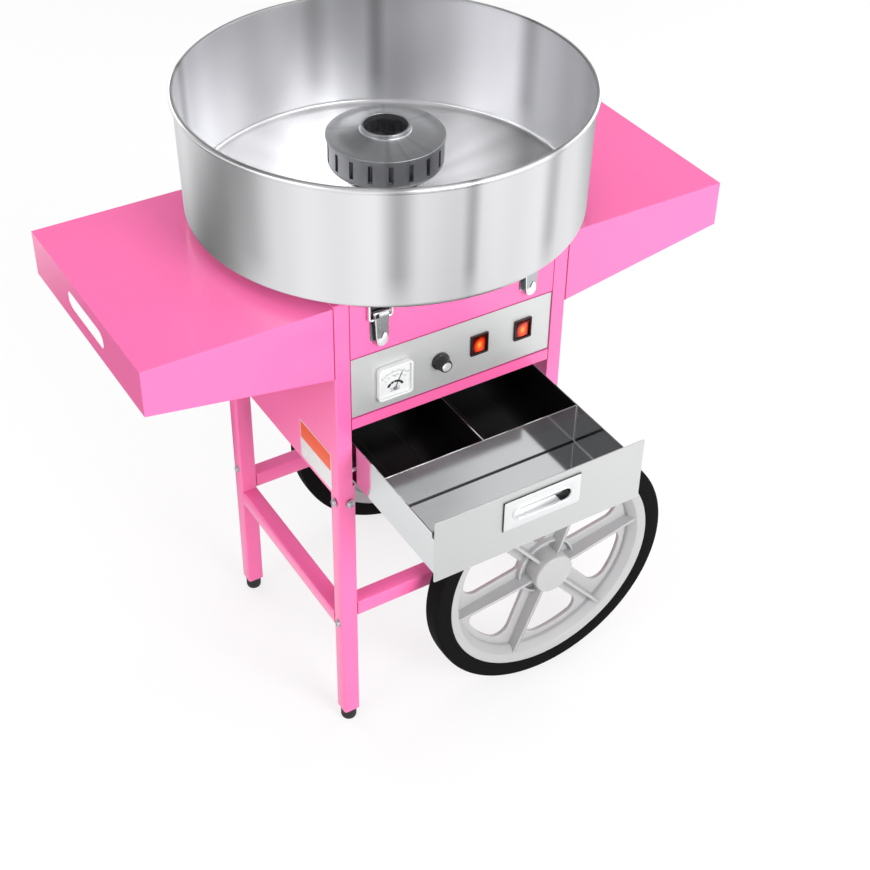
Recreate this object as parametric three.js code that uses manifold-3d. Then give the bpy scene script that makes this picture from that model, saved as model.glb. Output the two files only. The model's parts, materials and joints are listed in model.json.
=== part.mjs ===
// A candy floss machine on a two-wheeled cart: a sheet-steel cabinet on a square-tube frame,
// with a spun bowl, a belt-driven spinner head, a control panel, a drawer and two side wings.
// Millimetres, Z up. X runs to the machine's right and Y to its back; it faces -Y.
import * as THREE from 'three';
import { mergeVertices } from 'three/addons/utils/BufferGeometryUtils.js';
import Module from 'manifold-3d';

const wasm = await Module();
wasm.setup();

// Clearance between pieces that touch or seat on each other.
const clearance = 0.3;

// Facets round a turned form, by its size.
const facetsLarge = 38;
const facetsMedium = 18;
const facetsSmall = 12;

// Cabinet
const bodyWidth = 345;
const bodyDepth = 345;
const bodyBottom = 440;
const deckTop = 748;
const sheet = 1.5;
const bend = 2;
const stileWidth = 21.5;
const stileRound = 10;
const returnDepth = 11;
const panelBottom = 569;
const panelTop = 661;
const panelRecess = 1;
const openingTop = 551;
const shelfThickness = 2;
const shelfCorner = 4;
const deckHoleRadius = 45;
const deckCorner = 3;
const ventLength = 84;
const ventWidth = 6;
const ventPitch = 17;
const ventRows = 4;
const ventTop = 700;
const ventOffset = 66;

// Frame of square tube
const tubeSize = 25;
const tubeWall = 1.5;
const tubeCorner = 3;
const legTop = 456;
const rightLegBottom = 210;
const footHeight = 21;
const footRadius = 11.5;
const footBevel = 1.5;
const plugLength = 18;
const railBottom = 213;
const leftBraceBottom = 187.5;

// Axle and wheels
const wheelRadius = 198;
const tyreBore = 172.5;
const tyreWidth = 32;
const tyreEdge = 8;
const rimInner = 150;
const rimWidth = 38;
const rimStep = 5;
const rimLip = 4;
const wheelStandOff = 52;
const axleX = 148;
const axleRadius = 8;
const axleCollarRadius = 13;
const axleEndInset = 4;
const hubRadius = 33;
const hubProud = 8;
const hubInner = 42;
const hubBevel = 2;
const collarRadius = 48;
const collarHeight = 19;
const spokeCount = 6;
const spokeAngle = 10;
const spokeWidth = 36;
const spokePlate = 7;
const spokeRib = 5;
const ribFront = 3;
const bracketThickness = 4;
const bracketRadius = 24;
const bracketHeight = 62;
const bracketLap = 8;

// Wings
const wingLength = 247;
const wingTop = 745;
const wingDepthInner = 105;
const wingDepthOuter = 64;
const gripLength = 116;
const gripHeight = 26;
const gripDrop = 32;

// Bowl
const bowlRadius = 260;
const bowlFlare = 3;
const bowlBottom = 761;
const bowlHeight = 165;
const bowlWall = 2;
const bowlFillet = 9;
const bowlBead = 4;
const bowlFootRadius = 130;
const bowlNeckRadius = 48;
const bowlNeckHeight = 27;

// Spinner and its drive
const headRadius = 75;
const headFloor = 812;
const headWall = 3;
const headHeight = 38;
const headSlots = 18;
const headSlotWidth = 6;
const headSlotHeight = 24;
const headSlotFoot = 9;
const headHubRadius = 15;
const headHubDrop = 18;
const headHubRise = 10;
const lidOpening = 32;
const lidRise = 9;
const lidCollar = 6;
const lidWall = 3;
const shaftRadius = 6;
const shaftTail = 4;
const shaftHeadLap = 4;
const slipRadius = 16;
const slipDrop = 35;
const slipLand = 8;
const slipGap = 2;
const slipGrooveDepth = 3;
const pulleyGap = 7;
const pulleyHeight = 18;
const spinnerPulleyRadius = 30;
const motorPulleyRadius = 20;
const grooveDepth = 4;
const grooveLean = 1;
const beltHeight = 8;
const beltThickness = 5;
const housingRadius = 25;
const housingLength = 96.2;
const housingBevel = 3;
const housingFlangeRadius = 60;
const housingFlange = 5;
const housingFillet = 6;
const motorX = 104;
const motorY = 84;
const motorRadius = 42;
const motorGap = 17;
const motorEndRadius = 28;
const motorShoulder = 3;
const motorEndDrop = 5;
const motorEndRise = 4;
const motorShaftRadius = 5;
const motorShaftTail = 3;
const motorPlate = 96;
const motorPlateCorner = 8;
const motorPlateThickness = 4;
const brushWidth = 8;
const brushHeight = 6;
const brushBlockGap = 22;
const brushBlockLength = 12;
const brushBlockWidth = 20;
const brushFootLength = 32;
const brushFootThickness = 4;

// Controls
const controlZ = 615;
const meterX = -89;
const meterDrop = 5.5;
const meterSize = 50;
const meterProud = 8;
const meterCanRadius = 21;
const meterCanDepth = 30;
const meterLipWidth = 3;
const meterRecess = 4;
const meterPivotDrop = 12;
const meterCorner = 3;
const meterWindowCorner = 2;
const needleLength = 25;
const needleTail = 3;
const needleRoot = 0.9;
const needleTip = 0.35;
const needleThickness = 0.7;
const needleHubRadius = 2.6;
const needleHubHeight = 1.6;
const needleAngle = 24;
const knobX = -20;
const knobDrop = 3;
const knobSkirtRadius = 13;
const knobRadius = 11;
const knobHeight = 17;
const knobFlutes = 16;
const knobFluteDepth = 1.1;
const knobSkirtHeight = 3;
const knobShaftRadius = 3;
const knobShaftLength = 16;
const switchXs = { left: 39, right: 106.5 };
const switchLift = 2;
const switchWidth = 27;
const switchHeight = 32;
const switchProud = 2.5;
const switchFrame = 2.6;
const switchFlangeLap = 1.8;
const switchCorner = 1.5;
const switchDepth = 22;
const switchFloor = 2;
const rockerTilt = 7;
const rockerSideGap = 0.5;
const rockerEndGap = 1;
const rockerProud = 0.8;
const rockerDish = 2.4;
const rockerRound = 0.4;
const rockerShoulder = 1;
const rockerRoot = 7;
const rockerRootShare = 0.55;
const rockerPivotDepth = 1.5;

// Draw latches that hold the bowl
const latchX = 110;
const latchPivotZ = 722;
const latchPivotOut = 5;
const latchPlateWidth = 26;
const latchPlateTop = 734;
const latchPlateBottom = 680;
const latchPlateCorner = 4;
const latchPlateThickness = 1.2;
const latchPinRadius = 1.5;
const latchPinProud = 0.5;
const latchEarRadius = 4;
const latchEarThickness = 1.5;
const leverWidth = 20;
const leverLength = 48;
const leverThickness = 1.5;
const leverTipInset = 2;
const leverShoulder = 1;
const cheekTop = 2;
const cheekBottom = 14;
const cheekBack = 1.5;
const cheekNose = 2.6;
const cheekAbove = 4;
const cheekBelow = 3;
const bailDrop = 8;
const bailReach = 42;
const bailWidth = 32;
const bailRadius = 1.5;
const bailBend = 3.5;
const bailEndInset = 2.5;
const catchWidth = 20;
const catchGrip = 2;
const catchFlange = 14;

// Drawer
const drawerOut = 207;
const drawerFrontInset = 17.5;
const drawerFrontBottom = 461;
const drawerFrontTop = 557;
const drawerFrontCorner = 1.5;
const boxInset = 24.5;
const boxLength = 300;
const boxBottom = 463;
const boxTop = 526;
const boxWall = 1.2;
const partitionSetback = 130;
const pullWidth = 114;
const pullHeight = 46;
const pullZ = 522;
const pullSlotWidth = 84;
const pullSlotHeight = 18;
const pullDepth = 12;
const pullProud = 2;
const pullLip = 2.4;
const pullCorner = 4;
const pullWeld = 0.5;
const pullRelief = 2;
const runnerLip = 30;
const runnerDrop = 15;

// Power inlet in the back
const inletX = -96;
const inletZ = 506;
const inletWidth = 50;
const inletHeight = 28;
const inletSocketWidth = 26;
const inletSocketHeight = 19;
const inletDepth = 20;
const inletCorner = 3;
const inletFlange = 3;
const inletFloor = 2;
const inletPinPitch = 7;
const inletPinHalf = 1;
const inletPinRise = 3;
const inletPinInset = 3;

// Places worked out from the driving dimensions
const sideX = bodyWidth / 2;
const frontY = -bodyDepth / 2;
const rearY = bodyDepth / 2;
const deckBottom = deckTop - sheet;
const legInset = sheet + clearance + tubeSize / 2;
const legX = sideX - legInset;
const legY = rearY - legInset;
const railSpan = 2 * legX - tubeSize - 2 * clearance;
const braceSpan = 2 * legY - tubeSize - 2 * clearance;
const innerX = sideX - stileWidth - clearance;
const drawerFrontWidth = bodyWidth - 2 * drawerFrontInset;
const boxWidth = bodyWidth - 2 * boxInset;
const housingBottom = deckBottom - clearance - housingLength;
const pulleyBottom = housingBottom - pulleyGap - pulleyHeight;
const slipBottom = pulleyBottom - slipDrop;
const shaftBottom = slipBottom - shaftTail;
const motorBottom = pulleyBottom + pulleyHeight + motorGap;
const panelFace = frontY + panelRecess;
const shelfBottom = openingTop + sheet + clearance;
const shelfTop = shelfBottom + shelfThickness;
const plugRadius = tubeSize / 2 - tubeWall - clearance;
const slipHeight = 2 * slipLand + 3 * slipGap;
const wheelPlane = rearY + wheelStandOff;

const paint = (color, roughness = 0.35) =>
  new THREE.MeshStandardMaterial({ color, roughness, metalness: 0 });
const metal = (color, roughness = 0.3) =>
  new THREE.MeshStandardMaterial({ color, roughness, metalness: 1 });
const pink = paint(0xf56cb0);
const brushed = metal(0xc8c8ca, 0.35);
const polished = metal(0xd8d8d8, 0.15);
const chrome = metal(0xe0e0e0, 0.1);
const darkRubber = paint(0x303030, 0.85);
const greyPlastic = paint(0xb4b4b4, 0.5);
const blackPlastic = paint(0x161616, 0.4);
const whitePlastic = paint(0xf2f2f2, 0.3);
const glowOrange = paint(0xff6a20, 0.3);
const castAluminium = metal(0xb8b8b8, 0.45);

// A geometry with shared corners merged, no collapsed faces, and its faces pointing out.
function closed(geometry) {
  const bare = geometry.index ? geometry.toNonIndexed() : geometry.clone();
  bare.deleteAttribute('normal');
  bare.deleteAttribute('uv');
  const merged = mergeVertices(bare, 1e-3);
  const corners = merged.index.array;
  const p = merged.attributes.position;
  const [a, b, c] = [new THREE.Vector3(), new THREE.Vector3(), new THREE.Vector3()];
  const kept = [];
  let volume = 0;
  for (let i = 0; i < corners.length; i += 3) {
    const [u, v, w] = corners.slice(i, i + 3);
    if (u === v || v === w || w === u) continue;
    a.fromBufferAttribute(p, u);
    b.fromBufferAttribute(p, v);
    c.fromBufferAttribute(p, w);
    volume += a.dot(b.cross(c));
    kept.push([u, v, w]);
  }
  merged.setIndex(kept.flatMap(([u, v, w]) => (volume < 0 ? [u, w, v] : [u, v, w])));
  return merged;
}

function toManifold(geometry) {
  const g = closed(geometry);
  return new wasm.Manifold(new wasm.Mesh({
    numProp: 3,
    vertProperties: Float32Array.from(g.attributes.position.array),
    triVerts: Uint32Array.from(g.index.array),
  }));
}

function fromManifold(manifold) {
  const mesh = manifold.getMesh();
  const geometry = new THREE.BufferGeometry();
  geometry.setAttribute('position', new THREE.BufferAttribute(new Float32Array(mesh.vertProperties), 3));
  geometry.setIndex(Array.from(mesh.triVerts));
  return geometry;
}

const cut = (base, ...tools) =>
  fromManifold(tools.reduce((solid, tool) => solid.subtract(toManifold(tool)), toManifold(base)));
const join = (base, ...others) =>
  fromManifold(others.reduce((solid, other) => solid.add(toManifold(other)), toManifold(base)));

// A block between two corners.
function block(x0, x1, y0, y1, z0, z1) {
  const box = new THREE.BoxGeometry(x1 - x0, y1 - y0, z1 - z0);
  return box.translate((x0 + x1) / 2, (y0 + y1) / 2, (z0 + z1) / 2);
}

function roundedShape(width, height, radius, x = 0, y = 0) {
  const [w, h] = [width / 2 - radius, height / 2 - radius];
  const shape = new THREE.Shape();
  shape.absarc(x + w, y - h, radius, -Math.PI / 2, 0);
  shape.absarc(x + w, y + h, radius, 0, Math.PI / 2);
  shape.absarc(x - w, y + h, radius, Math.PI / 2, Math.PI);
  shape.absarc(x - w, y - h, radius, Math.PI, 1.5 * Math.PI);
  return shape;
}

function circleShape(radius, x = 0, y = 0) {
  const shape = new THREE.Shape();
  shape.absarc(x, y, radius, 0, 2 * Math.PI);
  return shape;
}

const extrude = (shape, depth, curveSegments = 3) =>
  new THREE.ExtrudeGeometry(shape, { depth, bevelEnabled: false, curveSegments });

// An outline drawn in X and Z, as seen from the front, with its faces at y0 and y1.
const facing = (shape, y0, y1, curveSegments) =>
  extrude(shape, y1 - y0, curveSegments).rotateX(Math.PI / 2).translate(0, y1, 0);

// An outline drawn in Y and Z, as seen from the side, with its faces at x0 and x1.
const acrossAxes = new THREE.Matrix4().makeBasis(
  new THREE.Vector3(0, 1, 0), new THREE.Vector3(0, 0, 1), new THREE.Vector3(1, 0, 0));
const across = (shape, x0, x1, curveSegments) =>
  extrude(shape, x1 - x0, curveSegments).applyMatrix4(acrossAxes).translate(x0, 0, 0);

// A profile of [radius, height] pairs turned round the Z axis.
const turned = (profile, segments) =>
  new THREE.LatheGeometry(profile.map(([r, z]) => new THREE.Vector2(r, z)), segments)
    .rotateX(Math.PI / 2);

const ring = (inner, outer, z0, z1, segments) =>
  turned([[inner, z0], [outer, z0], [outer, z1], [inner, z1], [inner, z0]], segments);
const disc = (radius, z0, z1, segments) =>
  turned([[0, z0], [radius, z0], [radius, z1], [0, z1]], segments);

const polygon = (points) => new THREE.Shape(points.map(([x, y]) => new THREE.Vector2(x, y)));

// The radius of a faceted hole whose flats stand clear of a round piece.
const holeRound = (radius, facets) => (radius + clearance) / Math.cos(Math.PI / facets);

const cart = new THREE.Group();

function add(parent, name, geometry, material, x = 0, y = 0, z = 0) {
  const mesh = new THREE.Mesh(closed(geometry), material);
  mesh.name = name;
  mesh.position.set(x, y, z);
  parent.add(mesh);
  return mesh;
}

// A length of square tube standing on the XY plane.
function squareTube(length) {
  const shape = roundedShape(tubeSize, tubeSize, tubeCorner);
  const bore = tubeSize - 2 * tubeWall;
  shape.holes.push(roundedShape(bore, bore, tubeCorner - tubeWall));
  return extrude(shape, length, 1);
}

function addFrame() {
  for (const [end, y] of [['front', -legY], ['rear', legY]]) {
    add(cart, `leg_left_${end}`, squareTube(legTop - footHeight), pink, -legX, y, footHeight);
    add(cart, `leg_right_${end}`, squareTube(legTop - rightLegBottom), pink, legX, y, rightLegBottom);
    add(cart, `rail_${end}`, squareTube(railSpan).rotateY(Math.PI / 2), pink,
      -railSpan / 2, y, railBottom + tubeSize / 2);
    add(cart, `foot_${end}`, rubberFoot(), darkRubber, -legX, y, 0);
  }
  for (const [side, x, bottom] of [['left', -legX, leftBraceBottom], ['right', legX, railBottom]]) {
    add(cart, `brace_${side}`, squareTube(braceSpan).rotateX(-Math.PI / 2), pink,
      x, -braceSpan / 2, bottom + tubeSize / 2);
  }
}

// A rubber pad with a plug that goes up into the leg.
function rubberFoot() {
  const top = footHeight - clearance;
  const plugTop = footHeight + plugLength;
  return turned([
    [0, 0], [footRadius - footBevel, 0], [footRadius, 2 * footBevel], [footRadius, top],
    [plugRadius, top], [plugRadius, plugTop - footBevel], [plugRadius - footBevel, plugTop],
    [0, plugTop],
  ], facetsSmall);
}

// The fixed axle runs across the cart's right end in two hanging plates.
function addAxle() {
  const end = wheelPlane - axleEndInset;
  const plateOuter = legY + tubeSize / 2 + clearance + bracketThickness;
  const collarInner = plateOuter + clearance;
  const collarOuter = wheelPlane - hubInner - clearance;
  const half = [
    [axleRadius, collarInner], [axleCollarRadius, collarInner], [axleCollarRadius, collarOuter],
    [axleRadius, collarOuter], [axleRadius, end - 1], [axleRadius - 1, end],
  ];
  const mirrored = half.toReversed().map(([r, y]) => [r, -y]);
  const axle = turned([[0, -end], ...mirrored, ...half, [0, end]], facetsSmall);
  add(cart, 'axle', axle.rotateX(Math.PI / 2), brushed, axleX, 0, wheelRadius);
  for (const [name, y] of [['front', -plateOuter], ['rear', plateOuter - bracketThickness]]) {
    add(cart, `axle_bracket_${name}`, axleBracket(), pink, axleX, y, wheelRadius);
  }
}

function axleBracket() {
  const outer = legX + tubeSize / 2 - axleX;
  const inner = outer - tubeSize - bracketLap;
  const shape = new THREE.Shape();
  shape.moveTo(outer, bracketHeight);
  shape.lineTo(inner, bracketHeight);
  shape.lineTo(-bracketRadius, 0);
  shape.absarc(0, 0, bracketRadius, Math.PI, 2 * Math.PI);
  shape.holes.push(circleShape(holeRound(axleRadius, facetsMedium)));
  return facing(shape, 0, bracketThickness, facetsMedium / 2);
}

// Each side is one sheet folded into a shallow channel: the wall and two stiles.
function sidePanel(side) {
  const [x0, x1] = [sideX, sideX - stileWidth];
  const height = deckBottom - clearance - bodyBottom;
  const plan = new THREE.Shape();
  plan.moveTo(x1, frontY);
  plan.lineTo(x0 - bend, frontY);
  plan.absarc(x0 - bend, frontY + bend, bend, -Math.PI / 2, 0);
  plan.lineTo(x0, rearY - bend);
  plan.absarc(x0 - bend, rearY - bend, bend, 0, Math.PI / 2);
  plan.lineTo(x1, rearY);
  plan.lineTo(x1, rearY - sheet);
  plan.lineTo(x0 - sheet, rearY - sheet);
  plan.lineTo(x0 - sheet, frontY + sheet);
  plan.lineTo(x1, frontY + sheet);
  const channel = extrude(plan, height, 2).translate(0, 0, bodyBottom);
  const corner = new THREE.Shape();
  corner.moveTo(x1 - 1, bodyBottom - 1);
  corner.lineTo(x1 + stileRound, bodyBottom - 1);
  corner.lineTo(x1 + stileRound, bodyBottom);
  corner.absarc(x1 + stileRound, bodyBottom + stileRound, stileRound, 1.5 * Math.PI, Math.PI, true);
  corner.lineTo(x1 - 1, bodyBottom + stileRound);
  const panel = cut(channel, facing(corner, frontY - 1, rearY + 1, 3));
  return side === 'left' ? mirroredX(panel) : panel;
}

function mirroredX(geometry) {
  const copy = geometry.clone().scale(-1, 1, 1);
  return closed(copy);
}

// A strip across the front or back, folded back along the edges that are named.
function foldedStrip(bottom, top, foldBottom, foldTop) {
  const back = frontY + returnDepth;
  const points = [[frontY, bottom]];
  if (foldBottom) points.push([back, bottom], [back, bottom + sheet]);
  points.push([frontY + sheet, bottom + (foldBottom ? sheet : 0)]);
  points.push([frontY + sheet, top - (foldTop ? sheet : 0)]);
  if (foldTop) points.push([back, top - sheet], [back, top]);
  points.push([frontY, top]);
  return across(polygon(points), -innerX, innerX);
}

function addCabinet() {
  add(cart, 'side_panel_left', sidePanel('left'), pink);
  add(cart, 'side_panel_right', sidePanel('right'), pink);
  add(cart, 'front_upper_plate',
    foldedStrip(panelTop + clearance, deckBottom - clearance, true, false), pink);
  add(cart, 'drawer_lintel', foldedStrip(openingTop, panelBottom, true, true), pink);
  add(cart, 'rear_panel', rearPanel(), pink);
  const deck = extrude(roundedShape(bodyWidth, bodyDepth, deckCorner), sheet, 2);
  const hole = disc(deckHoleRadius, -1, sheet + 1, facetsMedium);
  add(cart, 'deck_plate', cut(deck, hole), pink, 0, 0, deckBottom);
  add(cart, 'machine_shelf', machineShelf(), brushed, 0, 0, shelfBottom);
  add(cart, 'control_panel', controlPanel(), brushed);
}

function rearPanel() {
  const plate = block(-innerX, innerX, rearY - sheet, rearY, bodyBottom, deckBottom - clearance);
  const tools = [];
  for (let row = 0; row < ventRows; row += 1) {
    for (const x of [-ventOffset, ventOffset]) {
      const slot = roundedShape(ventLength, ventWidth, ventWidth / 2 - 0.01, x, ventTop - row * ventPitch);
      tools.push(facing(slot, rearY - 5, rearY + 5, 1));
    }
  }
  const [w, h] = [inletSocketWidth, inletSocketHeight].map((d) => d / 2 + sheet + clearance);
  tools.push(block(inletX - w, inletX + w, rearY - 5, rearY + 5, inletZ - h, inletZ + h));
  return cut(plate, ...tools);
}

// The floor of the machine space, which also closes the drawer's bay from above.
function machineShelf() {
  const x = sideX - sheet - clearance;
  const y = rearY - sheet - clearance;
  return extrude(roundedShape(2 * x, 2 * y, shelfCorner), shelfThickness, 1);
}

function controlPanel() {
  const [z0, z1] = [panelBottom + clearance, panelTop - clearance];
  const plate = block(-innerX, innerX, panelFace, panelFace + sheet, z0, z1);
  const [y0, y1] = [panelFace - 1, panelFace + sheet + 1];
  const meterHole = circleShape(holeRound(meterCanRadius, facetsMedium), meterX, controlZ - meterDrop);
  const knobHole = circleShape(holeRound(knobShaftRadius, facetsSmall), knobX, controlZ - knobDrop);
  const bores = [
    facing(meterHole, y0, y1, facetsMedium / 2),
    facing(knobHole, y0, y1, facetsSmall / 2),
  ];
  for (const x of Object.values(switchXs)) {
    const lap = switchFlangeLap - clearance;
    const [w, h] = [switchWidth / 2 - lap, switchHeight / 2 - lap];
    const z = controlZ + switchLift;
    bores.push(block(x - w, x + w, y0, y1, z - h, z + h));
  }
  return cut(plate, ...bores);
}

function addControls() {
  const meterZ = controlZ - meterDrop;
  add(cart, 'voltmeter', voltmeter(), whitePlastic, meterX, panelFace - clearance, meterZ);
  const needle = add(cart, 'meter_needle', meterNeedle(), blackPlastic,
    meterX, panelFace - clearance - meterProud + meterRecess - clearance, meterZ - meterPivotDrop);
  needle.rotation.y = THREE.MathUtils.degToRad(needleAngle);
  add(cart, 'heat_knob', heatKnob(), blackPlastic, knobX, panelFace - clearance, controlZ - knobDrop);
  for (const [side, x] of Object.entries(switchXs)) {
    const z = controlZ + switchLift;
    add(cart, `switch_frame_${side}`, switchSurround(), blackPlastic, x, panelFace - clearance, z);
    add(cart, `switch_rocker_${side}`, rocker(), glowOrange, x, panelFace - clearance, z);
  }
}

// A square panel meter with a round can behind the panel and a window sunk in its face.
function voltmeter() {
  const bezel = facing(roundedShape(meterSize, meterSize, meterCorner), -meterProud, 0, 1);
  const can = disc(meterCanRadius, -1, meterCanDepth, facetsMedium).rotateX(-Math.PI / 2);
  const window = meterSize - 2 * meterLipWidth;
  const outline = roundedShape(window, window, meterWindowCorner);
  return cut(join(bezel, can), facing(outline, -meterProud - 1, -meterProud + meterRecess, 1));
}

function meterNeedle() {
  const blade = polygon([
    [-needleRoot, -needleTail], [needleRoot, -needleTail],
    [needleTip, needleLength], [-needleTip, needleLength],
  ]);
  const hub = facing(circleShape(needleHubRadius), -needleHubHeight, 0, facetsSmall / 2);
  return join(facing(blade, -needleThickness, 0), hub);
}

// A fluted grip on a round skirt, with its spindle through the panel.
function heatKnob() {
  const points = 3 * knobFlutes;
  const outline = Array.from({ length: points }, (_, i) => {
    const turn = (2 * Math.PI * i) / points;
    const r = i % 3 === 0 ? knobRadius - knobFluteDepth : knobRadius;
    return [r * Math.cos(turn), r * Math.sin(turn)];
  });
  const grip = facing(polygon(outline), -knobHeight, -knobSkirtHeight + 1);
  const skirt = facing(circleShape(knobSkirtRadius), -knobSkirtHeight, 0, facetsMedium / 2);
  const spindle = facing(circleShape(knobShaftRadius), -1, knobShaftLength, facetsSmall / 2);
  return join(grip, skirt, spindle);
}

// The surround of a rocker switch: a flange on the panel and a sleeve through it.
function switchSurround() {
  const [w, h] = [switchWidth / 2, switchHeight / 2];
  const flange = facing(roundedShape(switchWidth, switchHeight, switchCorner), -switchProud, 0, 1);
  const lap = switchFlangeLap;
  const sleeve = block(-w + lap, w - lap, -1, switchDepth, -h + lap, h - lap);
  const bore = block(-w + switchFrame, w - switchFrame, -switchProud - 1, switchDepth - switchFloor,
    -h + switchFrame, h - switchFrame);
  return cut(join(flange, sleeve), bore);
}

// A rocker with a dished face; its pivot lies behind the panel.
function rocker() {
  const halfWidth = switchWidth / 2 - switchFrame - rockerSideGap;
  const halfHeight = switchHeight / 2 - switchFrame - rockerEndGap;
  const [face, end, root] = [-switchProud - rockerProud, halfHeight - rockerRound, halfHeight * rockerRootShare];
  const shape = new THREE.Shape();
  shape.moveTo(rockerRoot, -root);
  shape.lineTo(rockerRoot, root);
  shape.lineTo(rockerShoulder, halfHeight);
  shape.lineTo(face, end);
  shape.quadraticCurveTo(face + rockerDish, 0, face, -end);
  shape.lineTo(rockerShoulder, -halfHeight);
  return across(shape, -halfWidth, halfWidth, 6)
    .rotateX(THREE.MathUtils.degToRad(rockerTilt))
    .translate(0, rockerPivotDepth, 0);
}

// Wings: a folded shelf on each side with tapering skirts and a hand slot in its end.
function wing(side) {
  const inner = sideX + clearance;
  const outer = sideX + wingLength;
  const skirt = polygon([
    [inner, wingTop], [inner, wingTop - wingDepthInner], [outer, wingTop - wingDepthOuter],
    [outer, wingTop],
  ]);
  const solid = facing(skirt, frontY, rearY);
  const slope = (wingDepthInner - wingDepthOuter) / (outer - inner);
  const [hollowInner, hollowOuter] = [inner - 1, outer - sheet];
  const hollow = polygon([
    [hollowInner, wingTop - sheet], [hollowInner, wingTop - wingDepthInner - 5],
    [hollowOuter, wingTop - wingDepthOuter - 5 - slope * sheet], [hollowOuter, wingTop - sheet],
  ]);
  const cavity = facing(hollow, frontY + sheet, rearY - sheet);
  const grip = roundedShape(gripLength, gripHeight, gripHeight / 2 - 0.01, 0, wingTop - gripDrop);
  const slot = across(grip, outer - 5, outer + 5, 3);
  const geometry = cut(solid, cavity, slot);
  return side === 'left' ? mirroredX(geometry) : geometry;
}

function addWings() {
  add(cart, 'wing_left', wing('left'), pink);
  add(cart, 'wing_right', wing('right'), pink);
}

// The bowl is spun from one sheet: a flat floor with a neck for the spinner, an upright wall
// with a rolled rim, and a foot ring that stands on the deck.
function bowl() {
  const [floor, top] = [bowlBottom + bowlWall, bowlBottom + bowlHeight];
  const rim = bowlRadius + bowlFlare;
  const inside = [];
  const outside = [];
  for (const t of [0, Math.PI / 4, Math.PI / 2]) {
    const inset = bowlFillet * (1 - Math.sin(t));
    const up = bowlFillet * (1 - Math.cos(t));
    outside.push([bowlRadius - inset, bowlBottom + up]);
    inside.push([bowlRadius - bowlWall - inset, floor + up]);
  }
  const bead = [-0.5, -0.25, 0, 0.25, 0.5].map((turn) => [
    rim + bowlBead * Math.cos(Math.PI * turn),
    top - bowlBead + bowlBead * Math.sin(Math.PI * turn),
  ]);
  return turned([
    [bowlNeckRadius - bowlWall, bowlBottom], [bowlFootRadius - bowlWall, bowlBottom],
    [bowlFootRadius - bowlWall, deckTop + clearance], [bowlFootRadius, deckTop + clearance],
    [bowlFootRadius, bowlBottom], ...outside, ...bead,
    [rim - bowlWall, top - bowlBead], ...inside.reverse(),
    [bowlNeckRadius, floor], [bowlNeckRadius, floor + bowlNeckHeight],
    [bowlNeckRadius - bowlWall, floor + bowlNeckHeight], [bowlNeckRadius - bowlWall, bowlBottom],
  ], facetsLarge);
}

function addSpinner() {
  const shaftTop = headFloor + headHubRise + shaftHeadLap;
  const slipTop = slipBottom + slipHeight;
  const slipGroove = slipRadius - slipGrooveDepth;
  const slipRings = [0, 1].flatMap((i) => {
    const z = slipBottom + slipGap + i * (slipLand + slipGap);
    return [[slipGroove, z], [slipRadius, z], [slipRadius, z + slipLand], [slipGroove, z + slipLand]];
  });
  add(cart, 'bowl', bowl(), polished);
  add(cart, 'spinner_shaft', turned([
    [0, shaftBottom], [shaftRadius, shaftBottom], [shaftRadius, slipBottom],
    [slipGroove, slipBottom], ...slipRings, [slipGroove, slipTop],
    [shaftRadius, slipTop], [shaftRadius, shaftTop], [0, shaftTop],
  ], facetsSmall), brushed);
  add(cart, 'spinner_pulley', pulley(spinnerPulleyRadius, shaftRadius), castAluminium, 0, 0, pulleyBottom);
  add(cart, 'bearing_housing', bearingHousing(), castAluminium);
  add(cart, 'spinner_base', spinnerBase(), castAluminium);
  add(cart, 'spinner_lid', spinnerLid(), castAluminium);
}

// A pulley with one groove whose walls lean out.
function pulley(radius, bore) {
  const floor = radius - grooveDepth;
  const middle = pulleyHeight / 2;
  const low = middle - beltHeight / 2 - clearance;
  const high = middle + beltHeight / 2 + clearance;
  return turned([
    [bore + clearance, 0], [radius, 0], [radius, low - grooveLean], [floor, low], [floor, high],
    [radius, high + grooveLean], [radius, pulleyHeight], [bore + clearance, pulleyHeight],
    [bore + clearance, 0],
  ], facetsMedium);
}

// The bearing housing hangs from the deck by its flange and holds the shaft.
function bearingHousing() {
  const top = deckBottom - clearance;
  const bore = shaftRadius + clearance;
  const flangeBottom = top - housingFlange;
  return turned([
    [bore, housingBottom], [housingRadius - housingBevel, housingBottom],
    [housingRadius, housingBottom + housingBevel], [housingRadius, flangeBottom - housingFillet],
    [housingRadius + housingFillet, flangeBottom], [housingFlangeRadius, flangeBottom],
    [housingFlangeRadius, top], [bore, top], [bore, housingBottom],
  ], facetsMedium);
}

// A dish on the shaft whose wall is cut by slots that the melted sugar flies through.
function spinnerBase() {
  const bore = shaftRadius + clearance;
  const [hubBottom, hubTop] = [headFloor - headHubDrop, headFloor + headHubRise];
  const wallTop = headFloor + headHeight;
  const chamfer = 2 * headWall;
  const dish = turned([
    [bore, hubBottom], [headHubRadius, hubBottom], [headHubRadius, headFloor - headWall],
    [headRadius - chamfer, headFloor - headWall], [headRadius, headFloor + headWall],
    [headRadius, wallTop], [headRadius - headWall, wallTop],
    [headRadius - headWall, headFloor + headWall], [headRadius - headWall - chamfer, headFloor],
    [headHubRadius, headFloor], [headHubRadius, hubTop], [bore, hubTop], [bore, hubBottom],
  ], 2 * headSlots);
  const slots = Array.from({ length: headSlots }, (_, i) => {
    const [z, w] = [headFloor + headSlotFoot, headSlotWidth / 2];
    return block(headRadius - 2 * headWall, headRadius + headWall, -w, w, z, z + headSlotHeight)
      .rotateZ((2 * Math.PI * (i + 0.25)) / headSlots);
  });
  return cut(dish, ...slots);
}

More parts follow.
